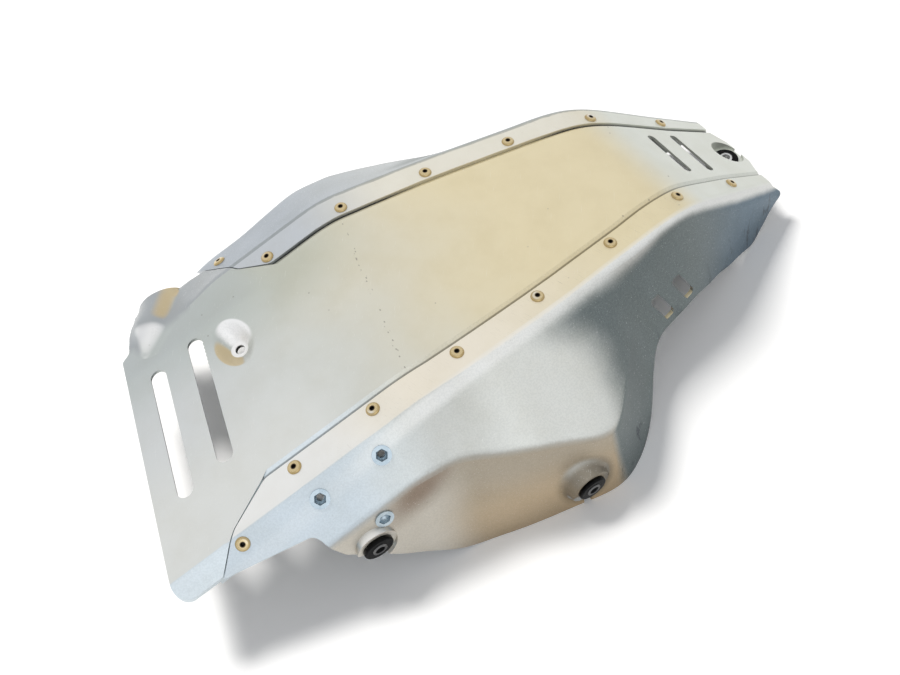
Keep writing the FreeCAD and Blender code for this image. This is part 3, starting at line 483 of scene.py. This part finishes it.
    def seamLines(self):  # painted shade in the gaps beside the flanges, and along the short panel's fold
        reach = self.attribute("seam_reach") - seam["shift"]
        closer = self.band(self.along, "closeFlange") * sheetLook["closeFlange"]
        farGap = self.fade(reach, "farGap") * self.fade(self.across, "middleLine") * (1 - closer)
        nearGap = self.fade(reach, "nearGap") * self.fade(-self.across, "middleLine") * sheetLook["nearGap"]
        self.paint(farGap.most(nearGap) * (1 - self.panel), "gap")
        self.paint(self.band(self.slopeY, "shortFoldShade") * self.shortPanel, "shortFoldShade")

    def pressedHighlightsAndShade(self):  # painted highlight on slopes towards the tail's near corner, painted warm reflection on those towards the nose, painted shade on the boss's vault, a painted highlight round the dimple and painted shade in its bore
        place = self.fade(-self.along, "pressAlong") * self.fade(self.across, "pressAcross")
        pressed = (1 - self.panel) * place
        # painted shade on the boss's vault
        crown = self.fade(self.across, "crownAcross") * self.fade(-self.along, "crownAlong")
        vault = self.fade(self.slopeY + abs(self.slopeX) * sheetLook["vaultSpread"], "vault").most(crown)
        self.paint(vault * pressed * self.fade(self.across, "vaultAcross"), "vault")
        pressed = pressed * self.fade(self.slopeZ, "facingUp")
        brightAlong, brightAcross = sheetLook["brightWay"]
        bright = self.fade(self.slopeX * brightAlong + self.slopeY * brightAcross, "bright")
        self.paint(bright * pressed, "pressWhite")
        # painted warm reflection on slopes that face the nose
        goldReflection = self.fade(self.slopeX + self.slopeY * sheetLook["goldReflectionSkew"], "goldReflection")
        self.paint(goldReflection * pressed, "gold")
        # a painted highlight round the dimple, and painted shade in its bore
        dimple = Vector(mounts["dimple_bolt"]["pos_m"]) - deckMiddle
        fromDimple = self.distance(self.position, dimple)
        self.paint(1 - self.fade(fromDimple, "dimpleFace"), "pressWhite")
        self.paint(1 - self.fade(fromDimple, "dimpleBore"), "bore")

    def wear(self):  # mottled film, fine brushing and rub marks
        self.paint(self.fade(self.patch, "mottle"), "mottle")
        gritty = self.flank * sheetLook["gritFlank"] + self.noseward * sheetLook["gritNose"]
        self.paint(self.fade(self.softNoise("grit"), "grit") * gritty, "grit")
        self.brush = self.grain("brush")
        self.scratch = self.fade(self.grain("cross"), "cross") + self.fade(self.brush, "brush")
        self.paint(self.scratch * (sheetLook["scratch"] + self.flank * sheetLook["scratchFlank"]), "scratch")
        rub = self.fade(self.grain("rub"), "rub") * self.fade(self.cloud, "rubCloud")
        self.paint(rub * self.panel, "rub")

    def pitting(self):  # a row of punched dots beside the tail's bend, and stray pits
        past = self.along - pan["tailBend"] - self.across * math.tan(pan["tailSkew"])
        onLine = 1 - self.fade(abs(past - sheetLook["dotsPastBend"]), "dotLine")
        onLine = onLine * self.fade(self.slopeZ, "top") * (1 - self.panel)
        dots = self.cells(self.place(0.0, sheetLook["dotScale"]), 1.0)
        stray = self.cells(self.place(0.0, sheetLook["strayScale"]), 1.0)
        strayPits = (1 - self.fade(stray, "stray")) * self.fade(self.cloud, "strayCloud")
        self.pits = (1 - self.fade(dots, "dot")) * onLine + strayPits
        self.paint(self.pits, "pit")


def sheetMetal():
    sheet = SheetShader("satin_aluminium")
    sheet.deckReflections()
    sheet.flangeTints()
    sheet.flankReflectionsAndShade()
    sheet.wallReflectionsAndShade()
    sheet.noseShadeAndScuffs()
    sheet.seamLines()
    sheet.pressedHighlightsAndShade()
    sheet.paint(1 - sheet.fade(sheet.slopeZ, "inside"), "inside")  # plain inner face
    sheet.wear()
    sheet.pitting()
    patchy = (sheet.patch - 0.5) * sheetLook["roughPatch"]
    texture = (sheet.brush - 0.5) * sheetLook["bumpBrush"] + (sheet.patch - 0.5) * sheetLook["bumpPatch"]
    return sheet.finish({
        "Base Color": sheet.color,
        "Metallic": sheetLook["metallic"],
        "Roughness": sheetLook["roughness"] + patchy - sheet.scratch * sheetLook["roughScratch"],
        "Normal": sheet.bump(texture - sheet.pits * sheetLook["bumpPits"], *sheetLook["bump"]),
    })


rivetLook = {
    # the dome's gold is a painted warm reflection, the darker rim painted shade at the head's edge, the mouth
    # painted shade at the bore; silver patches follow a noise
    "dome": (0.66, 0.53, 0.30),
    "silver": (0.82, 0.80, 0.73),
    "silverLevel": (0.54, 0.68),
    "rim": (0.46, 0.34, 0.16),
    "rimRadius": (0.70, 0.86),  # shares of the head's radius
    "rimStrength": 0.9,
    "mouth": (0.10, 0.075, 0.05),
    "mouthRadius": (0.34, 0.46),
    "rimRagged": 0.5,
    "toneScale": 60.0,
    "grain": (1400.0, 2.0),  # scale and detail
    "metallic": 0.9,
    "roughness": 0.30,
    "roughSpread": 0.2,
    "bump": (0.00008, 0.3),  # depth and strength
}


def rivetMetal():
    shader = Shader("rivet_aluminium")
    position = shader.place()
    tone = shader.noise(position, rivetLook["toneScale"])
    radius = shader.attribute("head_radius")
    # painted warm reflection on the dome, painted shade at the rim and in the mouth
    rim = shader.step(radius + (tone - 0.5) * rivetLook["rimRagged"], rivetLook["rimRadius"])
    color = shader.mix(shader.step(tone, rivetLook["silverLevel"]), rivetLook["dome"], rivetLook["silver"])
    color = shader.mix(rim * rivetLook["rimStrength"], color, rivetLook["rim"])
    color = shader.mix(1 - shader.step(radius, rivetLook["mouthRadius"]), color, rivetLook["mouth"])
    grain = shader.noise(position, *rivetLook["grain"])
    return shader.finish({
        "Base Color": color,
        "Metallic": rivetLook["metallic"],
        "Roughness": rivetLook["roughness"] + (grain - 0.5) * rivetLook["roughSpread"],
        "Normal": shader.bump(grain, *rivetLook["bump"]),
    })


stemLook = {
    # near black: painted shade of the rivet's bore, on the stem's end
    "dark": (0.012, 0.011, 0.010),
    "torn": (0.05, 0.045, 0.04),
    "grainScale": 1800.0,
    "metallic": 0.6,
    "roughness": 0.6,
    "bump": (0.0002, 0.5),
}


def stemSteel():
    shader = Shader("broken_stem_steel")
    grain = shader.noise(shader.place(), stemLook["grainScale"])
    return shader.finish({
        "Base Color": shader.mix(grain, stemLook["dark"], stemLook["torn"]),
        "Metallic": stemLook["metallic"],
        "Roughness": stemLook["roughness"],
        "Normal": shader.bump(grain, *stemLook["bump"]),
    })


rubberLook = {
    "black": (0.003, 0.003, 0.003),
    "dust": (0.012, 0.011, 0.010),
    "dustLevel": (0.52, 0.75),
    "dustNoise": (240.0, 5.0),
    "grain": (2600.0, 2.0),
    "roughness": 0.18,
    "roughDust": 0.2,
    "specular": 0.07,
    "bump": (0.0001, 0.35),
}


def grommetRubber():
    shader = Shader("grommet_rubber")
    position = shader.place()
    dust = shader.noise(position, *rubberLook["dustNoise"])
    grain = shader.noise(position, *rubberLook["grain"])
    dusty = shader.step(dust, rubberLook["dustLevel"])
    return shader.finish({
        "Base Color": shader.mix(dusty, rubberLook["black"], rubberLook["dust"]),
        "Roughness": rubberLook["roughness"] + dust * rubberLook["roughDust"],
        "Specular IOR Level": rubberLook["specular"],
        "Normal": shader.bump(grain, *rubberLook["bump"]),
    })


sleeveLook = {
    # one turned steel, painted dim on the wing sleeves as painted shade and bright on the nose sleeve as
    # painted highlight
    "dim": (0.16, 0.16, 0.16),
    "bright": (0.78, 0.78, 0.77),  # painted highlight on the one at the nose
    "noseAlong": (0.2, 0.22),
    "rings": (0.62, 0.62, 0.62),
    "ringScale": (900, 900, 2600),
    "ringDetail": 2.0,
    "ringStrength": 0.5,
    "metallic": 0.9,
    "roughness": 0.24,
    "roughRings": 0.12,
    "bump": (0.00006, 0.4),
}


def sleeveSteel():
    shader = Shader("turned_steel")
    rings = shader.noise(shader.place(0.0, sleeveLook["ringScale"]), 1.0, sleeveLook["ringDetail"])
    along = shader.axes(shader.place())[0]
    # painted shade on the wing sleeves, painted highlight on the nose one
    color = shader.mix(shader.step(along, sleeveLook["noseAlong"]), sleeveLook["dim"], sleeveLook["bright"])
    return shader.finish({
        "Base Color": shader.mix(rings * sleeveLook["ringStrength"], color, sleeveLook["rings"], "MULTIPLY"),
        "Metallic": sleeveLook["metallic"],
        "Roughness": sleeveLook["roughness"] + rings * sleeveLook["roughRings"],
        "Normal": shader.bump(rings, *sleeveLook["bump"]),
    })


zincLook = {
    "blue": (0.26, 0.34, 0.40),
    "pale": (0.56, 0.63, 0.67),
    "toneScale": 160.0,
    "spangleScale": 900.0,
    "metallic": 1.0,
    "roughness": 0.20,
    "roughSpangle": 0.16,
    "bump": (0.00012, 0.3),
}


def zincInsert():
    shader = Shader("zinc_plate")
    position = shader.place()
    spangle = shader.cells(position, zincLook["spangleScale"])
    tone = shader.noise(position, zincLook["toneScale"])
    return shader.finish({
        "Base Color": shader.mix(tone, zincLook["blue"], zincLook["pale"]),
        "Metallic": zincLook["metallic"],
        "Roughness": zincLook["roughness"] + spangle * zincLook["roughSpangle"],
        "Normal": shader.bump(tone, *zincLook["bump"]),
    })


looks = {
    "sheet": sheetMetal(),
    "rivet": rivetMetal(),
    "stem": stemSteel(),
    "grommet": grommetRubber(),
    "sleeve": sleeveSteel(),
    "insert": zincInsert(),
}
print("materials made:", len(looks))


def addPiece(name, mesh, slotName, *replaced):
    piece = bpy.data.objects.new(name, mesh)
    bpy.context.scene.collection.objects.link(piece)
    mesh.materials.clear()
    mesh.materials.append(looks[slotName])
    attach(piece, "root")
    if replaced:
        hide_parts(*replaced)


def pointValues(mesh, name, values):
    attribute = mesh.attributes.new(name, "FLOAT", "POINT")
    attribute.data.foreach_set("value", values)


def flangeEdge(nodeName, outward):  # where a flange's edge runs: along, and half width
    sheet = nodes[nodeName].data
    places = set()
    for face in sheet.polygons:
        middle = face.center - deckMiddle
        inside = abs(middle.y) < seam["edgeHalf"] - closingIn(middle.x)
        facing = face.normal.y * outward < -seam["facing"] and abs(face.normal.z) < seam["upright"]
        if inside and facing:
            corners = [sheet.vertices[index].co - deckMiddle for index in face.vertices]
            places.update((round(corner.x, 5), round(abs(corner.y), 5)) for corner in corners)
    line = np.array(sorted(places))
    width = line[:, 1] + closingIn(line[:, 0])
    lowest = [width[abs(line[:, 0] - along) < seam["window"]].min() for along in line[:, 0]]
    return line[width < np.array(lowest) + seam["depth"]].T


edges = {-1: flangeEdge("long_side_panel", -1), 1: flangeEdge("short_side_panel", 1)}
print("flange edges found, points:", [len(line[0]) for line in edges.values()])


def seamReach(point):  # how far out of its flange's edge a point of the deck lies, shifted
    line = edges[1 if point.y > deckMiddle.y else -1]
    along = point.x - deckMiddle.x
    if along < line[0][0] + seam["start"]:
        return 0.0
    edge = float(np.interp(along, line[0], line[1]))
    return max(0.0, seam["shift"] + abs(point.y - deckMiddle.y) - edge)


def sheetMesh(nodeName, panelSide):  # the CAD's own normals stay on the pressed sheets
    mesh = nodes[nodeName].data.copy()
    pointValues(mesh, "panel_side", [panelSide] * len(mesh.vertices))
    if panelSide == 0:
        pointValues(mesh, "seam_reach", [seamReach(vertex.co) for vertex in mesh.vertices])
    return mesh


sheets = {
    "centre_plate": ("deck_plate", 0.0),
    "long_side_panel": ("long_panel", 1.0),
    "short_side_panel": ("short_panel", -1.0),
}
for nodeName, (pieceName, panelSide) in sheets.items():
    addPiece(pieceName, sheetMesh(nodeName, panelSide), "sheet", nodeName)
print("sheets dressed:", len(sheets))

# soft shoulders where the press drew the sheet: skins a hair above the CAD faces, shaded as one flowing surface
pressing = {
    "step": 0.0007,
    "lift": 0.00008,
    "sink": 0.0006,  # how far the rim dips into the sheet
    "above": 0.05,  # where the rays start
    "reach": 0.075,
    "facing": 0.12,
    "fine": 0.0008,
    "fadeEnd": 0.95,  # shares of the half width
    "fadeWidth": 0.30,
    "widen": 4,  # how quickly the widening grows from the rim
    "rim": 0.98,
}
tailSquare = Vector(mounts["dimple_bolt"]["axis"])
pressings = {
    "boss_skin": {
        "nodeName": "centre_plate", "panelSide": 0.0, "square": tailSquare,
        "middle": Vector((-0.167, 0.084, -0.032)) + deckMiddle,
        "half": 0.036, "softness": 0.0030, "filled": True,
    },
    "dimple_skin": {
        "nodeName": "centre_plate", "panelSide": 0.0, "square": tailSquare,
        "middle": Vector(mounts["dimple_bolt"]["pos_m"]),
        "half": 0.030, "softness": 0.0016, "filled": False,
    },
    "front_seat_skin": {
        "nodeName": "long_side_panel", "panelSide": 1.0, "square": Vector((0, -1, 0)),
        "middle": Vector(mounts["front_wing_bolt"]["pos_m"]),
        "half": 0.030, "softness": 0.0024, "filled": True,
    },
}


def softened(field, valid, width):  # a bell shaped average over the samples that met the sheet
    reach = max(1, int(3 * width / pressing["step"]))
    bell = np.exp(-0.5 * (np.arange(-reach, reach + 1) * pressing["step"] / width) ** 2)

    def spread(grid):
        for direction in (0, 1):
            grid = np.apply_along_axis(np.convolve, direction, grid, bell, "same")
        return grid

    return spread(np.where(valid, field, 0.0)) / np.maximum(spread(valid.astype(float)), 1e-9)


def widened(field, valid):  # the highest of each sample and its neighbours
    padded = np.pad(np.where(valid, field, -1.0), 1, constant_values=-1.0)
    rows, columns = field.shape
    shifts = [padded[row:row + rows, column:column + columns] for row in range(3) for column in range(3)]
    return np.max(shifts, axis=0)


def sheetHeights(nodeName, starts, square):  # how high the sheet stands under a grid of starting points
    sheet = nodes[nodeName].data
    corners = [vertex.co[:] for vertex in sheet.vertices]
    surface = BVHTree.FromPolygons(corners, [face.vertices[:] for face in sheet.polygons])
    field = np.zeros((len(starts), len(starts)))
    valid = np.zeros(field.shape, dtype=bool)
    for row, line in enumerate(starts):
        for column, start in enumerate(line):
            hit, facing, index, distance = surface.ray_cast(start, -square, pressing["reach"])
            if hit is not None and facing.dot(square) > pressing["facing"]:
                field[row, column] = pressing["above"] - distance
                valid[row, column] = True
    return field, valid


def pressedSkin(name, nodeName, panelSide, square, middle, half, softness, filled):
    first = (Vector((1, 0, 0)) - square * square.x).normalized()
    second = square.cross(first)
    ticks = np.arange(-half, half + pressing["step"] / 2, pressing["step"])
    feet = [[middle + first * u + second * v for v in ticks] for u in ticks]
    starts = [[foot + square * pressing["above"] for foot in line] for line in feet]
    field, valid = sheetHeights(nodeName, starts, square)
    away = np.hypot(*np.meshgrid(ticks, ticks, indexing="ij")) / half
    fade = np.clip((pressing["fadeEnd"] - away) / pressing["fadeWidth"], 0, 1)
    fade = fade * fade * (3 - 2 * fade)
    wider = (widened(field, valid) - field) * np.clip(fade * pressing["widen"], 0, 1)
    top = np.where(valid, field + wider, 0.0)
    soft = softened(top, valid, softness)
    fine = softened(top, valid, pressing["fine"])
    shape = np.maximum(top, top + (soft - top) * fade) if filled else top
    shape = shape + pressing["lift"] - pressing["sink"] * (1 - fade)
    slopeU, slopeV = np.gradient(fine + (soft - fine) * fade, pressing["step"])
    keep = valid & (away < pressing["rim"])
    spots = list(zip(*np.nonzero(keep)))
    points = [(feet[row][column] + square * shape[row, column])[:] for row, column in spots]
    normals = [square - first * slopeU[spot] - second * slopeV[spot] for spot in spots]
    number = np.full(keep.shape, -1)
    number[keep] = np.arange(len(spots))
    corners = [number[:-1, :-1], number[1:, :-1], number[1:, 1:], number[:-1, 1:]]
    rings = np.stack(corners, axis=-1).reshape(-1, 4)
    faces = rings[rings.min(axis=1) >= 0].tolist()  # those with all four corners kept
    mesh = bpy.data.meshes.new(name)
    mesh.from_pydata(points, [], faces)
    mesh.shade_smooth()
    mesh.normals_split_custom_set_from_vertices([normal.normalized()[:] for normal in normals])
    pointValues(mesh, "panel_side", [panelSide] * len(mesh.vertices))
    addPiece(name, mesh, "sheet")
    return len(faces)


for name, press in pressings.items():
    print("pressing softened:", name, pressedSkin(name, **press))

# smooth copies of the turned pieces: name, slot, and the angle in degrees from which an edge is sharp
smoothCopies = {
    "rivet_stems_long_side": ("long_stems", "stem", 35),
    "rivet_stems_short_side": ("short_stems", "stem", 35),
    "nose_grommet": ("nose_rubber", "grommet", 40),
    "front_wing_grommet": ("front_rubber", "grommet", 40),
    "rear_wing_grommet": ("rear_rubber", "grommet", 40),
    "nose_sleeve": ("nose_bush", "sleeve", 35),
    "front_wing_sleeve": ("front_bush", "sleeve", 35),
    "rear_wing_sleeve": ("rear_bush", "sleeve", 35),
    "flank_inserts": ("nut_inserts", "insert", 30),
}


def mergedMesh(nodeName):
    mesh = nodes[nodeName].data.copy()
    work = bmesh.new()
    work.from_mesh(mesh)
    bmesh.ops.remove_doubles(work, verts=work.verts, dist=1e-6)
    work.to_mesh(mesh)
    work.free()
    return mesh


def smoothMesh(mesh, sharpAngle):
    mesh.shade_smooth()
    mesh.set_sharp_from_angle(angle=math.radians(sharpAngle))
    return mesh


for nodeName, (pieceName, slotName, sharpAngle) in smoothCopies.items():
    addPiece(pieceName, smoothMesh(mergedMesh(nodeName), sharpAngle), slotName, nodeName)
print("smooth copies made:", len(smoothCopies))


def islands(mesh):  # the separate solids of a group, as arrays of points
    work = bmesh.new()
    work.from_mesh(mesh)
    seen = set()
    found = []
    for vertex in work.verts:
        if vertex.index in seen:
            continue
        stack = [vertex]
        points = []
        seen.add(vertex.index)
        while stack:
            here = stack.pop()
            points.append(here.co[:])
            for edge in here.link_edges:
                other = edge.other_vert(here)
                if other.index not in seen:
                    seen.add(other.index)
                    stack.append(other)
        found.append(np.array(points))
    work.free()
    return found


def longAxis(points):  # direction of a slender solid, pointing up
    centred = points - points.mean(axis=0)
    directions = np.linalg.eigh(centred.T @ centred)[1]
    axis = Vector(directions[:, 2])
    return axis if axis.z > 0 else -axis


# blind rivets: one turned head, set by Geometry Nodes on the seats that the CAD rivets hold
rivet = {
    "headRadius": 0.0045,
    "headHeight": 0.0016,
    "rim": 0.00018,  # height of the head's edge
    "flat": 0.97,  # the head's underside and the dome's height, as shares
    "domeSteps": 7,
    "domeLift": 0.00004,
    "crown": 0.0005,  # where the dome ends, outside the bore
    "lip": ((0.0003, 1.0), (0.00005, 0.95), (0.0, 0.80)),  # outside the bore, and share of the height
    "boreRadius": 0.00135,
    "shankRadius": 0.0024,
    "grip": 0.005,
    "upsetRadius": 0.0036,
    "upsetHeight": 0.003,
    "upsetShape": ((0.8, 1.0), (1.0, 0.6), (0.9, 0.0)),  # shares of the radius and of the height
    "segments": 40,
    "sharpAngle": 50,
    "seed": 7,
}


def rivetProfile():  # radius and height, from the upset end up to the lip of the bore
    head, bore, top = rivet["headRadius"], rivet["boreRadius"], rivet["headHeight"]
    shank, upset, deep = rivet["shankRadius"], rivet["upsetRadius"], rivet["upsetHeight"]
    under = -rivet["grip"]
    crown = bore + rivet["crown"]
    profile = [(bore, under - deep)]
    profile += [(upset * radius, under - deep * height) for radius, height in rivet["upsetShape"]]
    profile += [(shank, under), (shank, 0.0), (head * rivet["flat"], 0.0), (head, rivet["rim"])]
    for index in range(1, rivet["domeSteps"]):
        swing = math.radians(90 * index / rivet["domeSteps"])
        height = top * math.sin(swing) * rivet["flat"] + rivet["domeLift"]
        profile.append((crown + (head - crown) * math.cos(swing), height))
    return profile + [(bore + outside, top * height) for outside, height in rivet["lip"]]


def rivetTemplate():
    profile = rivetProfile()
    work = bmesh.new()
    rings = []
    for turn in range(rivet["segments"]):
        angle = 2 * math.pi * turn / rivet["segments"]
        rings.append([work.verts.new((r * math.cos(angle), r * math.sin(angle), z)) for r, z in profile])
    for turn, first in enumerate(rings):
        second = rings[(turn + 1) % len(rings)]
        for index in range(len(profile)):
            after = (index + 1) % len(profile)
            work.faces.new((first[index], second[index], second[after], first[after]))
    bmesh.ops.recalc_face_normals(work, faces=work.faces)
    mesh = bpy.data.meshes.new("rivet_template")
    work.to_mesh(mesh)
    work.free()
    smoothMesh(mesh, rivet["sharpAngle"])
    radii = [math.hypot(vertex.co.x, vertex.co.y) for vertex in mesh.vertices]
    pointValues(mesh, "head_radius", [radius / rivet["headRadius"] for radius in radii])
    template = bpy.data.objects.new("rivet_template", mesh)
    bpy.context.scene.collection.objects.link(template)
    return template


def rivetTree(template, material):
    tree = bpy.data.node_groups.new("rivet_row", "GeometryNodeTree")
    tree.interface.new_socket("Geometry", in_out="INPUT", socket_type="NodeSocketGeometry")
    tree.interface.new_socket("Rivet size", in_out="INPUT", socket_type="NodeSocketFloat")
    tree.interface.new_socket("Geometry", in_out="OUTPUT", socket_type="NodeSocketGeometry")
    add = tree.nodes.new
    link = tree.links.new
    seats = add("NodeGroupInput")
    source = add("GeometryNodeObjectInfo")
    source.inputs["Object"].default_value = template
    axis = add("GeometryNodeInputNamedAttribute")
    axis.data_type = "FLOAT_VECTOR"
    axis.inputs["Name"].default_value = "seat_axis"
    align = add("FunctionNodeAlignRotationToVector")
    align.axis = "Z"
    link(axis.outputs["Attribute"], align.inputs["Vector"])
    turn = add("FunctionNodeRandomValue")
    turn.data_type = "FLOAT"
    turn.inputs["Max"].default_value = 2 * math.pi
    turn.inputs["Seed"].default_value = rivet["seed"]
    spin = add("FunctionNodeAxisAngleToRotation")
    spin.inputs["Axis"].default_value = (0, 0, 1)
    link(turn.outputs["Value"], spin.inputs["Angle"])
    both = add("FunctionNodeRotateRotation")
    both.rotation_space = "LOCAL"
    link(align.outputs["Rotation"], both.inputs["Rotation"])
    link(spin.outputs["Rotation"], both.inputs["Rotate By"])
    place = add("GeometryNodeInstanceOnPoints")
    link(seats.outputs["Geometry"], place.inputs["Points"])
    link(source.outputs["Geometry"], place.inputs["Instance"])
    link(both.outputs["Rotation"], place.inputs["Rotation"])
    link(seats.outputs["Rivet size"], place.inputs["Scale"])
    real = add("GeometryNodeRealizeInstances")
    link(place.outputs["Instances"], real.inputs["Geometry"])
    paint = add("GeometryNodeSetMaterial")
    paint.inputs["Material"].default_value = material
    link(real.outputs["Geometry"], paint.inputs["Geometry"])
    output = add("NodeGroupOutput")
    link(paint.outputs["Geometry"], output.inputs["Geometry"])
    return tree


def rivetRow(name, rivetNode, stemNode, tree):
    stems = islands(mergedMesh(stemNode))
    seats = []
    axes = []
    for points in islands(mergedMesh(rivetNode)):
        centre = points.mean(axis=0)
        stem = min(stems, key=lambda other: np.linalg.norm(other.mean(axis=0) - centre))
        axis = longAxis(stem)
        middle = Vector(stem.mean(axis=0))
        top = max((Vector(point) - middle).dot(axis) for point in points)
        seats.append(middle + axis * (top - rivet["headHeight"]))
        axes.append(axis)
    mesh = bpy.data.meshes.new(name + "_seats")
    mesh.from_pydata([seat[:] for seat in seats], [], [])
    attribute = mesh.attributes.new("seat_axis", "FLOAT_VECTOR", "POINT")
    attribute.data.foreach_set("vector", [value for axis in axes for value in axis])
    holder = bpy.data.objects.new(name + "_seats", mesh)
    bpy.context.scene.collection.objects.link(holder)
    modifier = holder.modifiers.new("rivets", "NODES")
    modifier.node_group = tree
    socket = [item for item in tree.interface.items_tree if item.name == "Rivet size"][0]
    modifier[socket.identifier] = 1.0
    evaluated = holder.evaluated_get(bpy.context.evaluated_depsgraph_get())
    made = bpy.data.meshes.new_from_object(evaluated)
    holder.modifiers.remove(modifier)
    bpy.data.objects.remove(holder)
    addPiece(name, made, "rivet", rivetNode)


template = rivetTemplate()
tree = rivetTree(template, looks["rivet"])
rivetRow("long_rivets", "rivets_long_side", "rivet_stems_long_side", tree)
rivetRow("short_rivets", "rivets_short_side", "rivet_stems_short_side", tree)
bpy.data.objects.remove(template)
print("rivets set")

# pale floor that reads as the background to the camera and to reflections, and keeps the shadow
stageLook = {
    "floor": (0.80, 0.80, 0.80),
    "seen": (1.10, 1.10, 1.10),
    "floorSize": 5.0,
    "floorGap": 0.0002,
    "sky": (0.97, 0.98, 1.0),
    "skyLight": 0.36,
    "skySeen": 0.88,
}


def paleFloor():
    shader = Shader("pale_floor")
    tone = shader.mix(shader.seen(), stageLook["floor"], stageLook["seen"])
    diffuse = shader.node("ShaderNodeBsdfDiffuse", {}, {"Color": tone})
    shader.node("ShaderNodeOutputMaterial", {}, {"Surface": diffuse})
    half = stageLook["floorSize"] / 2
    level = cadBox[0][2] - stageLook["floorGap"]
    corners = [(-half, -half, level), (half, -half, level), (half, half, level), (-half, half, level)]
    mesh = bpy.data.meshes.new("floor")
    mesh.from_pydata(corners, [], [(0, 1, 2, 3)])
    mesh.materials.append(shader.material)
    floor = bpy.data.objects.new("floor", mesh)
    bpy.context.scene.collection.objects.link(floor)


paleFloor()

# soft studio light: a warm key from the far side and a wide cool one from the near side
lampAim = Vector((0, 0, 0.05))
lamps = {  # place, width, power, tint, and whether metal mirrors it
    "key": ((-0.55, 1.1, 1.9), 0.55, 42.0, (1.0, 0.98, 0.95), False),
    "sky": ((-0.3, -1.4, 1.5), 1.6, 5.0, (0.92, 0.96, 1.0), True),
}
for name, (place, width, power, tint, mirrored) in lamps.items():
    data = bpy.data.lights.new(name, "AREA")
    data.shape = "SQUARE"
    data.size = width
    data.energy = power
    data.color = tint
    lamp = bpy.data.objects.new(name, data)
    lamp.location = Vector(place)
    lamp.visible_glossy = mirrored
    lamp.rotation_euler = (lampAim - Vector(place)).to_track_quat("-Z", "Y").to_euler()
    bpy.context.scene.collection.objects.link(lamp)

studio = Shader("studio", bpy.data.worlds)
strength = stageLook["skyLight"] + studio.seen() * (stageLook["skySeen"] - stageLook["skyLight"])
sky = studio.node("ShaderNodeBackground", {}, {"Color": (*stageLook["sky"], 1), "Strength": strength})
studio.node("ShaderNodeOutputWorld", {}, {"Surface": sky})
bpy.context.scene.world = studio.material
print("stage lit")

# camera where the photograph was taken, from the deck's middle
view = {
    "eye": (-0.1807, -0.3543, 0.4730),
    "right": (0.8389, -0.5420, -0.0500),
    "up": (0.4682, 0.6719, 0.5738),
    "back": (-0.2774, -0.5048, 0.8175),
    "lens": 37.52,
    "sensor": 36,
    "nearest": 0.01,
}
cameraData = bpy.data.cameras.new("camera")
cameraData.lens = view["lens"]
cameraData.sensor_width = view["sensor"]
cameraData.clip_start = view["nearest"]
camera = bpy.data.objects.new("camera", cameraData)
turn = Matrix((view["right"], view["up"], view["back"])).transposed()
camera.matrix_world = Matrix.Translation(Vector(view["eye"]) + deckMiddle) @ turn.to_4x4()
bpy.context.scene.collection.objects.link(camera)
bpy.context.scene.camera = camera
bpy.context.scene.view_settings.view_transform = "Standard"
print("camera set")
